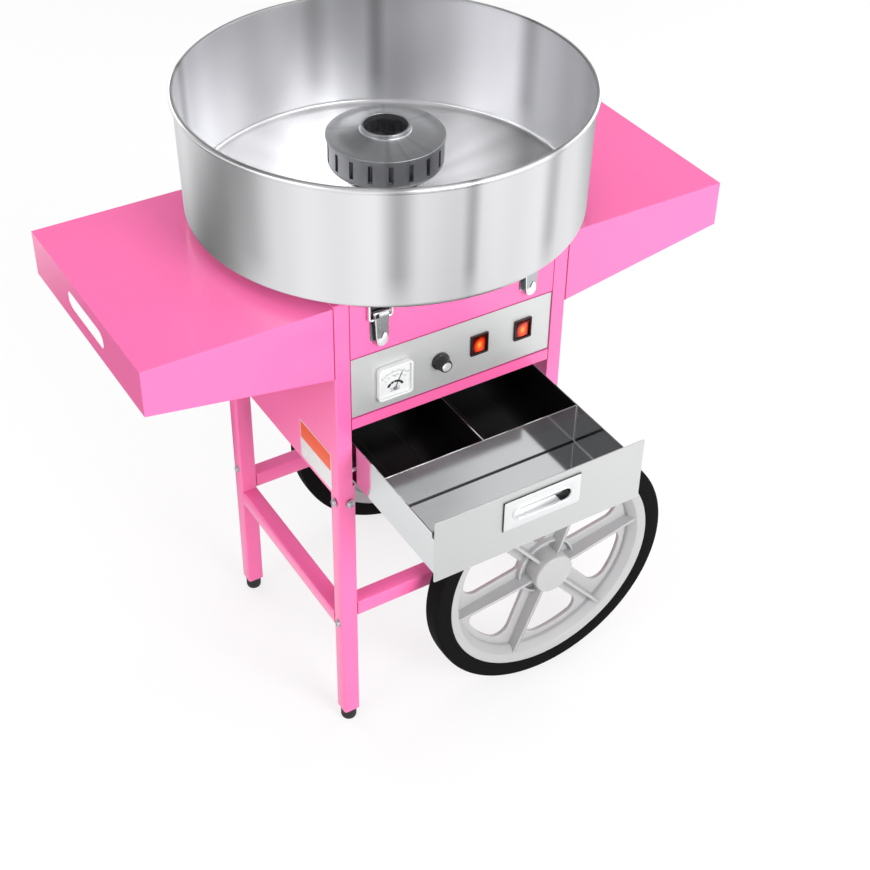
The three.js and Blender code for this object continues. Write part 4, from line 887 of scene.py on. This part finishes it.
# One half's section, mirrored for the other half and turned round, with a collar near each end
def makeAxle(size):
    r, c = size["radius"], size["collarRadius"]
    half = [(r, size["collarInner"]), (c, size["collarInner"]), (c, size["collarOuter"]), (r, size["collarOuter"]),
            (r, size["end"]), (0, size["end"])]
    line = softLine([(x, -y) for x, y in half[::-1]] + half, 0.8, 4)
    return moved(turned(line, 48), toFront, size["place"])


makePiece("axle", [makeAxle(axle)], "zincSteel", "cart", nodes=("axle",), sharp=50)

foot = {"radius": 11.5, "height": 20.7, "plugRadius": 10.7, "plugTop": 39, "x": -158.2,
        "ys": {"front": -99.15, "rear": 217.25}}


# A cap's rounded section with the plug in the tube above it, turned round
def makeFoot(size, y):
    r = size["radius"]
    line = softLine([(0, 0), (r - 1.5, 0), (r, 4), (r, size["height"]), (size["plugRadius"], size["height"]),
                     (size["plugRadius"], size["plugTop"]), (0, size["plugTop"])], [0, 2, 2, 1.2, 0, 1, 0], 6)
    return moved(turned(line, 48), to=(size["x"], y, 0))


for end, y in foot["ys"].items():
    makePiece("foot" + end.capitalize(), [makeFoot(foot, y)], "blackRubber", "cart", nodes=("foot_" + end,), sharp=50)
print("axle and feet made")


# Controls
panelFront = -112.75         # where the controls stand, just off the panel's face
meter = {"x": -89, "z": 609.5, "size": 50, "round": 5, "proud": 8, "lip": 3, "recess": 4, "canRadius": 21,
         "canDepth": 30, "pivotDrop": 12}


# A rounded frame, a floor sunk into it and the round can behind the panel
def makeMeter(size):
    outer = roundedRectangle(size["size"], size["size"], size["round"])
    window = size["size"] - 2 * size["lip"]
    inner = roundedRectangle(window, window, size["round"] - size["lip"] + 1)
    bezel = softFrame(outer, inner, 0, size["proud"], 1.0, 5)
    floor = softSlab(inset(outer, 0.6), 0.2, size["proud"] - size["recess"], 0.2)
    can = turned(softLine([(0, 0.5), (size["canRadius"], 0.5), (size["canRadius"], -size["canDepth"]),
                           (0, -size["canDepth"])], 0.8, 4), 64)
    return [moved(part, toFront, (size["x"], panelFront, size["z"])) for part in (bezel, floor, can)]


dial = {"radius": 25.5, "tick": 2.6, "longTick": 4.2, "from": 135, "to": 45, "steps": 25, "numbers": 6,
        "textSize": 3.168, "textReach": (20.124, 20.4), "arcWidth": 0.35, "longHalf": 0.32, "shortHalf": 0.16,
        "unit": "V", "unitSize": 4.6, "unitRise": 6.5}


# The dial: a scale of thin blocks on an arc about the needle's pivot, and the arc itself
def makeScale(size):
    turns = np.radians(np.linspace(size["from"], size["to"], size["steps"] + 1))
    parts = []
    for number, turn in enumerate(turns):
        long = number % 5 == 0
        reach, half = (size["longTick"], size["longHalf"]) if long else (size["tick"], size["shortHalf"])
        box = np.array([(0, -half), (reach, -half), (reach, half), (0, half)]) + [size["radius"], 0]
        c, s = math.cos(turn), math.sin(turn)
        flat = box @ np.array([[c, s], [-s, c]])
        parts.append(softSlab(flat, 0, 0.08, 0.02, 2))
    sweep = np.radians(np.linspace(size["from"], size["to"], 49))
    rim = lambda r: np.column_stack([r * np.cos(sweep), r * np.sin(sweep)])
    band = np.vstack([rim(size["radius"]), rim(size["radius"] + size["arcWidth"])[::-1]])
    parts.append(softSlab(band, 0, 0.08, 0.02, 2))
    return parts


# Letters as a thin mesh, centred on their own place, before they are turned to the panel
def makeWords(text, height, thick=0.04):
    curve = bpy.data.curves.new("words", "FONT")
    curve.body, curve.size, curve.extrude = text, height, thick
    curve.align_x, curve.align_y = "CENTER", "CENTER"
    holder = bpy.data.objects.new("words", curve)
    scene.collection.objects.link(holder)
    mesh = bpy.data.meshes.new_from_object(holder.evaluated_get(bpy.context.evaluated_depsgraph_get()))
    points = np.empty(3 * len(mesh.vertices))
    mesh.vertices.foreach_get("co", points)
    faces = [list(face.vertices) for face in mesh.polygons]
    bpy.data.objects.remove(holder)
    return {"points": points.reshape(-1, 3), "faces": faces, "flat": np.zeros((len(points) // 3, 2))}


dialFace = panelFront - meter["proud"] + meter["recess"] - 0.02
dialPlace = (meter["x"], dialFace, meter["z"] - meter["pivotDrop"])
marks = [moved(part, toFront, dialPlace) for part in makeScale(dial)]
for number in range(dial["numbers"]):
    turn = math.radians(dial["from"] + (dial["to"] - dial["from"]) * number / (dial["numbers"] - 1))
    word = makeWords(str(50 * number), dial["textSize"])
    word = moved(word, to=(dial["textReach"][0] * math.cos(turn), dial["textReach"][1] * math.sin(turn), 0))
    marks.append(moved(word, toFront, dialPlace))
unitPlace = (meter["x"], dialFace, meter["z"] + dial["unitRise"])
unit = moved(makeWords(dial["unit"], dial["unitSize"], 0.1), toFront, unitPlace)
makePiece("meterCase", makeMeter(meter), "whitePlastic", "cart", nodes=("voltmeter",), sharp=45)
makePiece("meterMarks", marks, "dialInk", "cart", outward=False)
makePiece("meterUnit", [unit], "blackPlastic", "cart", outward=False)

cover = {"radius": 12, "band": 3, "height": 1.2, "squash": 0.8, "drop": -2.5,
         "spans": ((10, 40), (48, 98), (104, 126), (132, 166)),
         "rows": (0.8, -1.4, -3.6), "rowWidth": 14, "rowHeight": 0.8}


# Over the pivot: a black band of squashed arcs about it, each between two radii, and rows of small print as
# plain bars
def makeCover(size):
    black, grey = [], []
    for first, last in size["spans"]:
        sweep = np.radians(np.linspace(first, last, 9))
        ring = np.column_stack([np.cos(sweep), size["squash"] * np.sin(sweep)])
        outline = np.vstack([ring * size["radius"], ring[::-1] * (size["radius"] - size["band"])])
        black.append(softSlab(outline - [0, size["drop"]], 0, size["height"], 0.2, 3))
    for row in size["rows"]:
        bar = softSlab(roundedRectangle(size["rowWidth"], size["rowHeight"], 0.3, 3), 0, 0.1, 0.03, 2)
        grey.append(moved(bar, to=(0, row, 0)))
    return [[moved(part, toFront, dialPlace) for part in parts] for parts in (black, grey)]


blackBand, greyRows = makeCover(cover)
makePiece("meterCover", blackBand, "blackPlastic", "cart")
makePiece("meterPrint", greyRows, "dialInk", "cart")
print("voltmeter made")

knob = {"x": -20, "z": 612, "skirt": 12.4, "radius": 10.2, "taper": 1.6, "height": 16.6, "skirtHeight": 4,
        "flutes": 16, "flute": 0.9, "shaftRadius": 3, "shaftLength": 16, "capRadius": 6.8, "capProud": 0.5,
        "capSides": 9}


# A round grip whose radius dips in a cosine for each flute, faded out towards its top edge
def makeKnob(size):
    turn = np.linspace(0, 2 * np.pi, 16 * size["flutes"] + 1)
    line = softLine([(0, 0), (size["skirt"], 0), (size["skirt"], size["skirtHeight"]),
                     (size["radius"] + 0.4, size["skirtHeight"] + 1.4),
                     (size["radius"] - size["taper"], size["height"]), (0, size["height"])],
                    [0, 0.6, 1.6, 1.2, 1.2, 0], 7)
    lift = np.clip((line[:, 1] - size["skirtHeight"]) / 2, 0, 1) * np.clip(line[:, 0] / size["radius"] * 4 - 3, 0, 1)
    dip = size["flute"] * np.clip(0.5 - 0.5 * np.cos(size["flutes"] * turn), 0, 1) ** 2
    radius = line[:, 0][:, None] - lift[:, None] * dip[None, :]
    points = np.stack([radius * np.cos(turn), radius * np.sin(turn), line[:, 1][:, None] + 0 * turn], -1)
    grip = gridPart(points, mapped=True)
    spindle = turned(softLine([(0, 0.5), (size["shaftRadius"], 0.5), (size["shaftRadius"], -size["shaftLength"]),
                               (0, -size["shaftLength"])], 0.3, 3), 32)
    return [moved(part, toFront, (size["x"], panelFront, size["z"])) for part in (grip, spindle)]


# The bright cap in the grip's front: a low facetted cone on a short wall
def makeKnobCap(size):
    seat, crown = size["height"] - 1, size["height"] + size["capProud"]
    line = np.array([(0, seat), (size["capRadius"], seat), (size["capRadius"], size["height"] + 0.1),
                     (size["capRadius"] * 0.62, crown), (0, crown)])
    return [moved(turned(line, size["capSides"]), toFront, (size["x"], panelFront, size["z"]))]


makePiece("heatKnob", makeKnob(knob), "blackPlastic", "knob", nodes=("heat_knob",), sharp=60)
makePiece("knobCap", makeKnobCap(knob), "chromeAndHighlight", "knob", sharp=8)

switch = {"xs": {"left": 39, "right": 106.5}, "z": 617, "width": 27, "height": 32, "proud": 2.5, "frame": 2.6,
          "lap": 1.8, "depth": 22, "tilt": 7}


# A flange on the panel, a sleeve through it and the sleeve's floor
def makeSwitchFrame(size, x):
    outer = roundedRectangle(size["width"], size["height"], 2)
    inner = roundedRectangle(size["width"] - 2 * size["frame"], size["height"] - 2 * size["frame"], 0.8)
    sleeve = roundedRectangle(size["width"] - 2 * size["lap"], size["height"] - 2 * size["lap"], 0.8)
    flange = softFrame(outer, inner, 0, size["proud"], 0.7)
    tube = softFrame(sleeve, inner, -size["depth"], 0.5, 0.2)
    floor = softSlab(inset(inner, -0.3), -size["depth"], -size["depth"] + 1.5, 0.2)
    return [moved(part, toFront, (x, panelFront, size["z"])) for part in (flange, tube, floor)]


# A rocker: its side view has a dished front, and the section is carried straight across
def makeRocker(size, x):
    halfWidth = size["width"] / 2 - size["frame"] - 0.5
    high = size["height"] / 2 - size["frame"] - 1
    t = np.linspace(-1, 1, 25)
    dish = np.column_stack([(high - 0.4) * t, size["proud"] + 0.8 - 2.0 * (1 - t ** 2)])
    across = np.linspace(-1, 1, 15)
    crown = -0.35 * np.abs(across) ** 6
    front = np.stack([np.stack([halfWidth * across, 0 * across + v, w + crown], -1) for v, w in dish])
    sides = [(high, -1.0), (high * 0.55, -7.0)]
    lower = [np.stack([halfWidth * across, 0 * across - v, w + 0 * across], -1) for v, w in sides[::-1]]
    upper = [np.stack([halfWidth * across, 0 * across + v, w + 0 * across], -1) for v, w in sides]
    rows = np.stack([*lower, *front, *upper])
    part = gridPart(rows, closeRows=True, mapped=True)
    index = np.arange(rows.shape[0] * rows.shape[1]).reshape(rows.shape[:2])
    part["faces"] += [index[:, 0].tolist(), index[:, -1].tolist()]
    share = (rows[..., 1] / high + 1) / 2
    part["flat"] = np.stack([(rows[..., 0] / halfWidth + 1) / 2, share], -1).reshape(-1, 2)
    tilt = math.radians(size["tilt"])
    lean = np.array([[1, 0, 0], [0, math.cos(tilt), -math.sin(tilt)], [0, math.sin(tilt), math.cos(tilt)]])
    tilted = moved(moved(part, toFront), lean, (0, 1.5, 0))
    return [moved(tilted, to=(x, panelFront, size["z"]))]


for side, x in switch["xs"].items():
    makePiece("switchFrame" + side.capitalize(), makeSwitchFrame(switch, x), "switchFrameRed", "cart",
              nodes=("switch_frame_" + side,), sharp=45)
    makePiece("switchRocker" + side.capitalize(), makeRocker(switch, x), "switchAmber", "rocker_" + side,
              nodes=("switch_rocker_" + side,), sharp=40)
print("knob and switches made")


# Latches
bail = {"x": 110, "y": -118.45, "z": 714, "width": 32, "reach": 42, "end": 7.5, "round": 3.5, "radius": 1.5}


# A round wire along a bent line: an end, a side, the far bar, the other side and the other end
def makeBail(size, sign):
    side, end, reach = size["width"] / 2, size["end"], size["reach"]
    corners = [(-end, 0, 0), (-side, 0, 0), (-side, 0, reach), (side, 0, reach), (side, 0, 0), (end, 0, 0)]
    path = softLine(corners, size["round"], 9)
    return moved(tubeAlong(path, size["radius"], 14), to=(sign * size["x"], size["y"], size["z"]))


# Painted highlights and painted shade on a lever, in its own plane: x from its middle, z from its pivot
lever = {"z": 722, "front": -121.75, "tip": 7.6, "tipDrop": 40, "proud": 0.45,
         "cut": ((-7.2, 3), (-1, 4.4), (2.2, 12), (6.6, 9)), "lip": ((-4.2, -3.4), (9.4, -3.4), (9.4, 1), (-4.2, 1)),
         "edge": ((-9.9, -6), (-9.0, -6), (-7.1, -38), (-8.0, -38)),
         "hole": ((-8.6, -4.6), (-4.4, -4.6), (-4.4, 0.6), (-8.6, 0.6)),
         "slit": ((-2.0, -35.8), (-1.0, -35.4), (2.4, -27.6), (1.5, -27.8)),
         "shade": (24.4, 27, 720), "shadeY": -114.95}


# The painted highlight at the tip is half a disc closed by the pressed cut above it; the other painted highlights and
# the painted shade of the hole and the slit are flat outlines, all thin slabs
def makeLeverPaintedLight(size, sign):
    place = (sign * bail["x"], size["front"], size["z"])
    turn = np.linspace(0, np.pi, 15)
    halfDisc = np.column_stack([-size["tip"] * np.cos(turn), -size["tip"] * np.sin(turn)])
    tip = np.vstack([halfDisc, np.array(size["cut"])[::-1]]) - [0, size["tipDrop"]]
    highlights = [softSlab(np.array(line, float), 0, size["proud"], 0.12, 3) for line in (tip, size["lip"], size["edge"])]
    shades = [softSlab(np.array(size[key], float), 0, size["proud"] + 0.1, 0.05, 2) for key in ("hole", "slit")]
    return [[moved(part, toFront, place) for part in parts] for parts in (highlights, shades)]


# Painted shade behind a latch: a thin dark plate on the front
def makeLatchShade(size, sign):
    width, height, z = size["shade"]
    plate = softSlab(roundedRectangle(width, height, 1), 0, 0.12, 0.03, 2)
    return moved(plate, toFront, (sign * bail["x"], size["shadeY"], z))


for side, sign in (("left", -1), ("right", 1)):
    makePiece("latchBail" + side.capitalize(), [makeBail(bail, sign)], "chromeAndHighlight", "bail_" + side,
              nodes=("latch_bail_" + side,), sharp=60)
    highlightMarks, shadeMarks = makeLeverPaintedLight(lever, sign)
    makePiece("leverBright" + side.capitalize(), highlightMarks, "chromeAndHighlight", "lever_" + side)
    makePiece("leverDark" + side.capitalize(), shadeMarks, "linerBlack", "lever_" + side)
    makePiece("latchShade" + side.capitalize(), [makeLatchShade(lever, sign)], "linerBlack", "cart")
print("latches made")


# Drawer
pull = {"width": 114, "height": 46, "z": 522, "round": 4, "slotWidth": 84, "slotHeight": 18, "depth": 12,
        "proud": 2, "lip": 2.4, "sheet": 1.5, "plane": -322.55}


# The pull: a plate with a slot in it, a raised lip round the slot and a cup behind it
def makePull(size):
    w, h = size["slotWidth"], size["slotHeight"]
    outer = roundedRectangle(size["width"], size["height"], size["round"], 17)
    slot, lipLine, cupLine = (roundedRectangle(w + 2 * more, h + 2 * more, h / 2 + more - 0.01, 17)
                              for more in (0, size["lip"], size["sheet"]))
    face = softFrame(outer, slot, 0, size["sheet"], 0.5)
    lip = softFrame(lipLine, slot, size["sheet"] - 0.4, size["sheet"] + size["proud"], 0.9, 6)
    cup = softFrame(cupLine, slot, -size["depth"], 0.2, 0.2)
    floor = softSlab(cupLine, -size["depth"], -size["depth"] + size["sheet"], 0.8)
    return [moved(part, toFront, (0, size["plane"], size["z"])) for part in (face, lip, cup, floor)]


makePiece("drawerPull", makePull(pull), "pullSteel", "drawer", nodes=("drawer_pull",),
          sharp=45)

pullShade = {"straightTop": 13, "straightFoot": 5, "thick": 0.4, "low": -10.3, "high": 1.3, "edgeWidth": 0.9,
             "topWidth": 0.6, "edgeHigh": 1.7}


# Painted shade: on the slot's round end wall, with a straight run at the top and the foot, a dark strip for the dark
# reflection there and the shadow under the lip; and dark strips along the plate's left and top edges for the shadow
# where the plate stands proud
def makePullShade(size):
    r = pull["slotHeight"] / 2 - 0.06
    middle = pull["slotWidth"] / 2 - pull["slotHeight"] / 2
    turn = np.linspace(-np.pi / 2, np.pi / 2, 21)

    def wall(radius):
        ring = np.column_stack([middle + radius * np.cos(turn), radius * np.sin(turn)])
        return np.vstack([[(middle - size["straightFoot"], -radius)], ring, [(middle - size["straightTop"], radius)]])

    shade = softSlab(np.vstack([wall(r), wall(r - size["thick"])[::-1]]), size["low"], size["high"], 0.05, 2)
    side = softSlab(roundedRectangle(size["edgeWidth"], pull["height"], 0.2, 3), 0, size["edgeHigh"], 0.1, 2)
    top = softSlab(roundedRectangle(pull["width"], size["topWidth"], 0.2, 3), 0, size["edgeHigh"], 0.1, 2)
    parts = [shade, moved(side, to=(-pull["width"] / 2 - size["edgeWidth"] / 2, 0, 0)),
             moved(top, to=(0, pull["height"] / 2 + size["topWidth"] / 2, 0))]
    return [moved(part, toFront, (0, pull["plane"], pull["z"])) for part in parts]


makePiece("pullShade", makePullShade(pullShade), "linerBlack", "drawer")

liner = {"wall": 0.5, "gap": 0.35, "top": 525.2, "floor": 464.9, "xs": ((-146.3, -1.0), (1.0, 146.3)),
         "ys": (-188.9, -21.95)}


# An open tray: a rounded outline carried up its own wall, over the rim and down inside to its floor
def makeLiner(size, x0, x1):
    (y0, y1), wall = size["ys"], size["wall"]
    outline = roundedRectangle(x1 - x0 - 2 * size["gap"], y1 - y0 - 2 * size["gap"], 1.2, 5)
    small, inner = outline * 0.5, inset(outline, wall)
    rings = [(small, size["floor"]), (outline, size["floor"]), (outline, size["top"]), (inner, size["top"]),
             (inner, size["floor"] + wall), (small, size["floor"] + wall)]
    part = gridPart(ringed(rings), closeColumns=True, capStart=True, capEnd=True)
    return moved(part, to=((x0 + x1) / 2, (y0 + y1) / 2, 0))


makePiece("drawerLiners", [makeLiner(liner, *xs) for xs in liner["xs"]], "linerBlack", "drawer",
          sharp=40)

# Boxes given by their middle and size: painted shade in the corner at the partition's foot and in the notch at the
# front's left end, low ribs in the trays, and two painted highlight lines at the right, up the corner and along the
# wall's foot
drawerShade = (((0, -191.6, 464.8), (293, 1.9, 0.6)), ((-147.6, -309.5, 523.4), (2.8, 6.5, 6.4)))
trayRibs = tuple(((x, -105.0, 465.5), (0.9, 164, 0.25)) for x in (-104, -52, 46, 97))
drawerHighlight = (((146.1, -191.1, 495.0), (0.8, 0.7, 61)), ((146.1, -255.5, 464.85), (0.8, 129, 0.7)))


# Thin slabs with barely rounded edges, each moved to its place
def makeBoxes(rows):
    return [moved(softSlab(roundedRectangle(w, d, 0.1, 2), -h / 2, h / 2, 0.04, 2), to=place)
            for place, (w, d, h) in rows]


makePiece("drawerHighlightLines", makeBoxes(drawerHighlight), "chromeAndHighlight", "drawer")
makePiece("drawerJoints", makeBoxes(drawerShade), "linerBlack", "drawer")
makePiece("trayRibs", makeBoxes(trayRibs), "trayRib", "drawer")
print("drawer dressed")


# Fasteners and the bare side plate
bolt = {"washer": 6.5, "washerHeight": 1.0, "head": 4.8, "headHeight": 3.2, "socket": 2.4, "socketDepth": 1.6}


# A washer, a domed head and its socket as one section, turned round
def makeBolt(size):
    w, h, socket = size["washer"], size["washerHeight"], size["socket"]
    top = h + size["headHeight"]
    sweep = np.radians(np.linspace(0, 62, 9))
    dome = np.column_stack([size["head"] * np.cos(sweep) ** 0.8, h + size["headHeight"] * np.sin(sweep) ** 0.9])
    line = np.vstack([[(0, 0)], softLine([(0.01, 0), (w, 0), (w, h), (size["head"], h)], 0.3, 3)[1:], dome,
                      [(socket, top - 0.25), (socket - 0.3, top - 0.5), (socket - 0.35, top - size["socketDepth"]),
                       (0, top - size["socketDepth"])]])
    return turned(line, 36)


boltPlaces = [
    (toFront, (-155, -113.45, 428)), (toFront, (155, -113.45, 428)),
    (toLeft, (-172.5, -100.95, 429)), (toLeft, (-172.5, 217, 429)),
    (toLeft, (-170.7, 217.25, 252)), (toLeft, (-170.7, -99.15, 200)),
    (toRight, (172.5, -100.95, 429)), (toRight, (172.5, 217, 429)),
    (toRear, (-155, 231.55, 428)), (toRear, (155, 231.55, 428)),
]
bolts = [moved(makeBolt(bolt), turn, place) for turn, place in boltPlaces]
makePiece("frameBolts", bolts, "zincSteel", "cart", sharp=45)

sidePlate = {"x": -172.5, "y": -53, "z": 477, "width": 86, "height": 62, "thick": 0.4, "band": 28,
             "margin": 1.5}


# A white slab and a band of colour on its upper part
def makeSidePlate(size):
    white = softSlab(roundedRectangle(size["width"], size["height"], 1.5), 0.02, size["thick"], 0.1)
    band = roundedRectangle(size["width"] - 2 * size["margin"], size["band"], 0.8)
    red = softSlab(band, size["thick"] - 0.1, size["thick"] + 0.12, 0.05)
    red = moved(red, to=(0, size["height"] / 2 - size["band"] / 2 - size["margin"], 0))
    place = (size["x"], size["y"], size["z"])
    return moved(white, toLeft, place), moved(red, toLeft, place)


plain, banded = makeSidePlate(sidePlate)
makePiece("sidePlate", [plain], "whitePlastic", "cart")
makePiece("sidePlateBand", [banded], "signRed", "cart")
print("fasteners made")


# The room: its light level, what polished metal sees of it, and the soft cards that brighten or dim that
room = {"floorSize": 12, "floorColour": (246, 246, 246), "worldDiffuse": 0.56, "glossBase": 0.72,
        "cards": (((0.42, 0.68, 0.6), -0.42, 0.72, 0.98), ((0.42, -0.68, 0.6), 0.55, 0.72, 0.98),
                  ((-0.42, 0.68, 0.6), -0.66, 0.72, 0.98), ((-0.42, -0.68, 0.6), -0.48, 0.72, 0.98),
                  ((0.366, -0.65, 0.668), -0.5, 0.9968, 0.9996)),
        "seenGlow": 0.72,
        "floorGlow": {"left": ("X", -0.45, -0.05, 1.04, 0.66), "right": ("X", 0.1, 0.6, 0.0, 0.36),
                      "behind": ("Y", 0.3, 0.6, 1.0, 0.12), "beyond": ("Y", 1.1, 1.5, 0.0, 0.88)}}


# The floor: seen by the camera it glows towards white, and steel sees a level that is the sum of its left and
# right ramps times the sum of those behind and beyond; each ramp has its axis, start, end and two levels
def makeFloor(size):
    half = size["floorSize"] / 2
    mesh = bpy.data.meshes.new("floor")
    mesh.from_pydata([(-half, -half, 0), (half, -half, 0), (half, half, 0), (-half, half, 0)], [], [(0, 1, 2, 3)])
    floor = bpy.data.objects.new("floor", mesh)
    scene.collection.objects.link(floor)
    material, tree, sockets = newFinish("floorWhite")
    fill(tree, sockets, {"Base Color": tint(*size["floorColour"]), "Roughness": 0.9, "Specular IOR Level": 0.1})
    glow = put(tree, "Emission", {"Color": (1, 1, 1, 1), "Strength": 1.0})[0]
    rays = put(tree, "LightPath")
    seen = mathOf(tree, "MULTIPLY", rays["Is Camera Ray"], size["seenGlow"])
    surface = put(tree, "MixShader", {0: seen, 1: tree.nodes["Principled BSDF"].outputs[0], 2: glow})[0]
    place = put(tree, "SeparateXYZ", {0: put(tree, "TexCoord")["Object"]})
    ramp = {side: put(tree, "MapRange", {"Value": place[axis], "From Min": start, "From Max": end,
                                         "To Min": low, "To Max": high})[0]
            for side, (axis, start, end, low, high) in size["floorGlow"].items()}
    level = mathOf(tree, "MULTIPLY", mathOf(tree, "ADD", ramp["left"], ramp["right"]),
                   mathOf(tree, "ADD", ramp["behind"], ramp["beyond"]))
    mirrored = put(tree, "Emission", {"Color": (1, 1, 1, 1), "Strength": level})[0]
    surface = put(tree, "MixShader", {0: rays["Is Glossy Ray"], 1: surface, 2: mirrored})[0]
    tree.links.new(surface, tree.nodes["Material Output"].inputs["Surface"])
    mesh.materials.append(material)


# What metal reflects: an even room with soft cards in it, each strongest where the ray points at it
def makeWorld(size):
    world = bpy.data.worlds.new("studio")
    world.use_nodes = True
    tree = world.node_tree
    tree.nodes.clear()
    direction = put(tree, "TexCoord")["Generated"]
    level = size["glossBase"]
    for heading, gain, edge, full in size["cards"]:
        facing = put(tree, "VectorMath", {0: direction, 1: Vector(heading).normalized()}, operation="DOT_PRODUCT")
        card = put(tree, "MapRange", {"Value": facing["Value"], "From Min": edge, "From Max": full,
                                      "To Max": gain}, interpolation_type="SMOOTHSTEP")[0]
        level = mathOf(tree, "ADD", card, level)
    rays = put(tree, "LightPath")
    clear = mathOf(tree, "MAXIMUM", rays["Is Camera Ray"], rays["Is Transmission Ray"])
    glossy = mathOf(tree, "MULTIPLY", rays["Is Glossy Ray"], level)
    dull = mathOf(tree, "MULTIPLY", mathOf(tree, "SUBTRACT", 1.0, rays["Is Glossy Ray"]), size["worldDiffuse"])
    strength = mathOf(tree, "MAXIMUM", clear, mathOf(tree, "ADD", glossy, dull))
    back = put(tree, "Background", {"Color": (1, 1, 1, 1), "Strength": strength})[0]
    output = tree.nodes.new("ShaderNodeOutputWorld")
    tree.links.new(back, output.inputs["Surface"])
    scene.world = world


lamps = {
    "keyLamp": {"place": (0.6, -3.1, 1.8), "aim": (0, 0, 0.55), "size": 1.6, "power": 90},
    "fillLamp": {"place": (-2.9, -0.5, 1.5), "aim": (0, 0, 0.5), "size": 1.8, "power": 26},
    "topLamp": {"place": (-0.2, 0.1, 3.2), "aim": (0, 0.05, 0.6), "size": 2.0, "power": 22},
    "backLamp": {"place": (-0.9, 2.9, 1.6), "aim": (0, 0, 0.6), "size": 1.6, "power": 18},
    "sideLamp": {"place": (3.0, 0.6, 1.5), "aim": (0, 0, 0.5), "size": 1.6, "power": 24},
}


# Each lamp is square and faces the point that it aims at
def makeLamps(setup):
    for name, lamp in setup.items():
        data = bpy.data.lights.new(name, "AREA")
        data.size, data.energy = lamp["size"], lamp["power"]
        holder = bpy.data.objects.new(name, data)
        scene.collection.objects.link(holder)
        holder.location = lamp["place"]
        away = Vector(lamp["place"]) - Vector(lamp["aim"])
        holder.rotation_euler = away.to_track_quat("Z", "Y").to_euler()
        holder.visible_glossy = name != "topLamp"       # seen in steel, it would be a white patch


makeFloor(room)
makeWorld(room)
makeLamps(lamps)
print("studio lit")
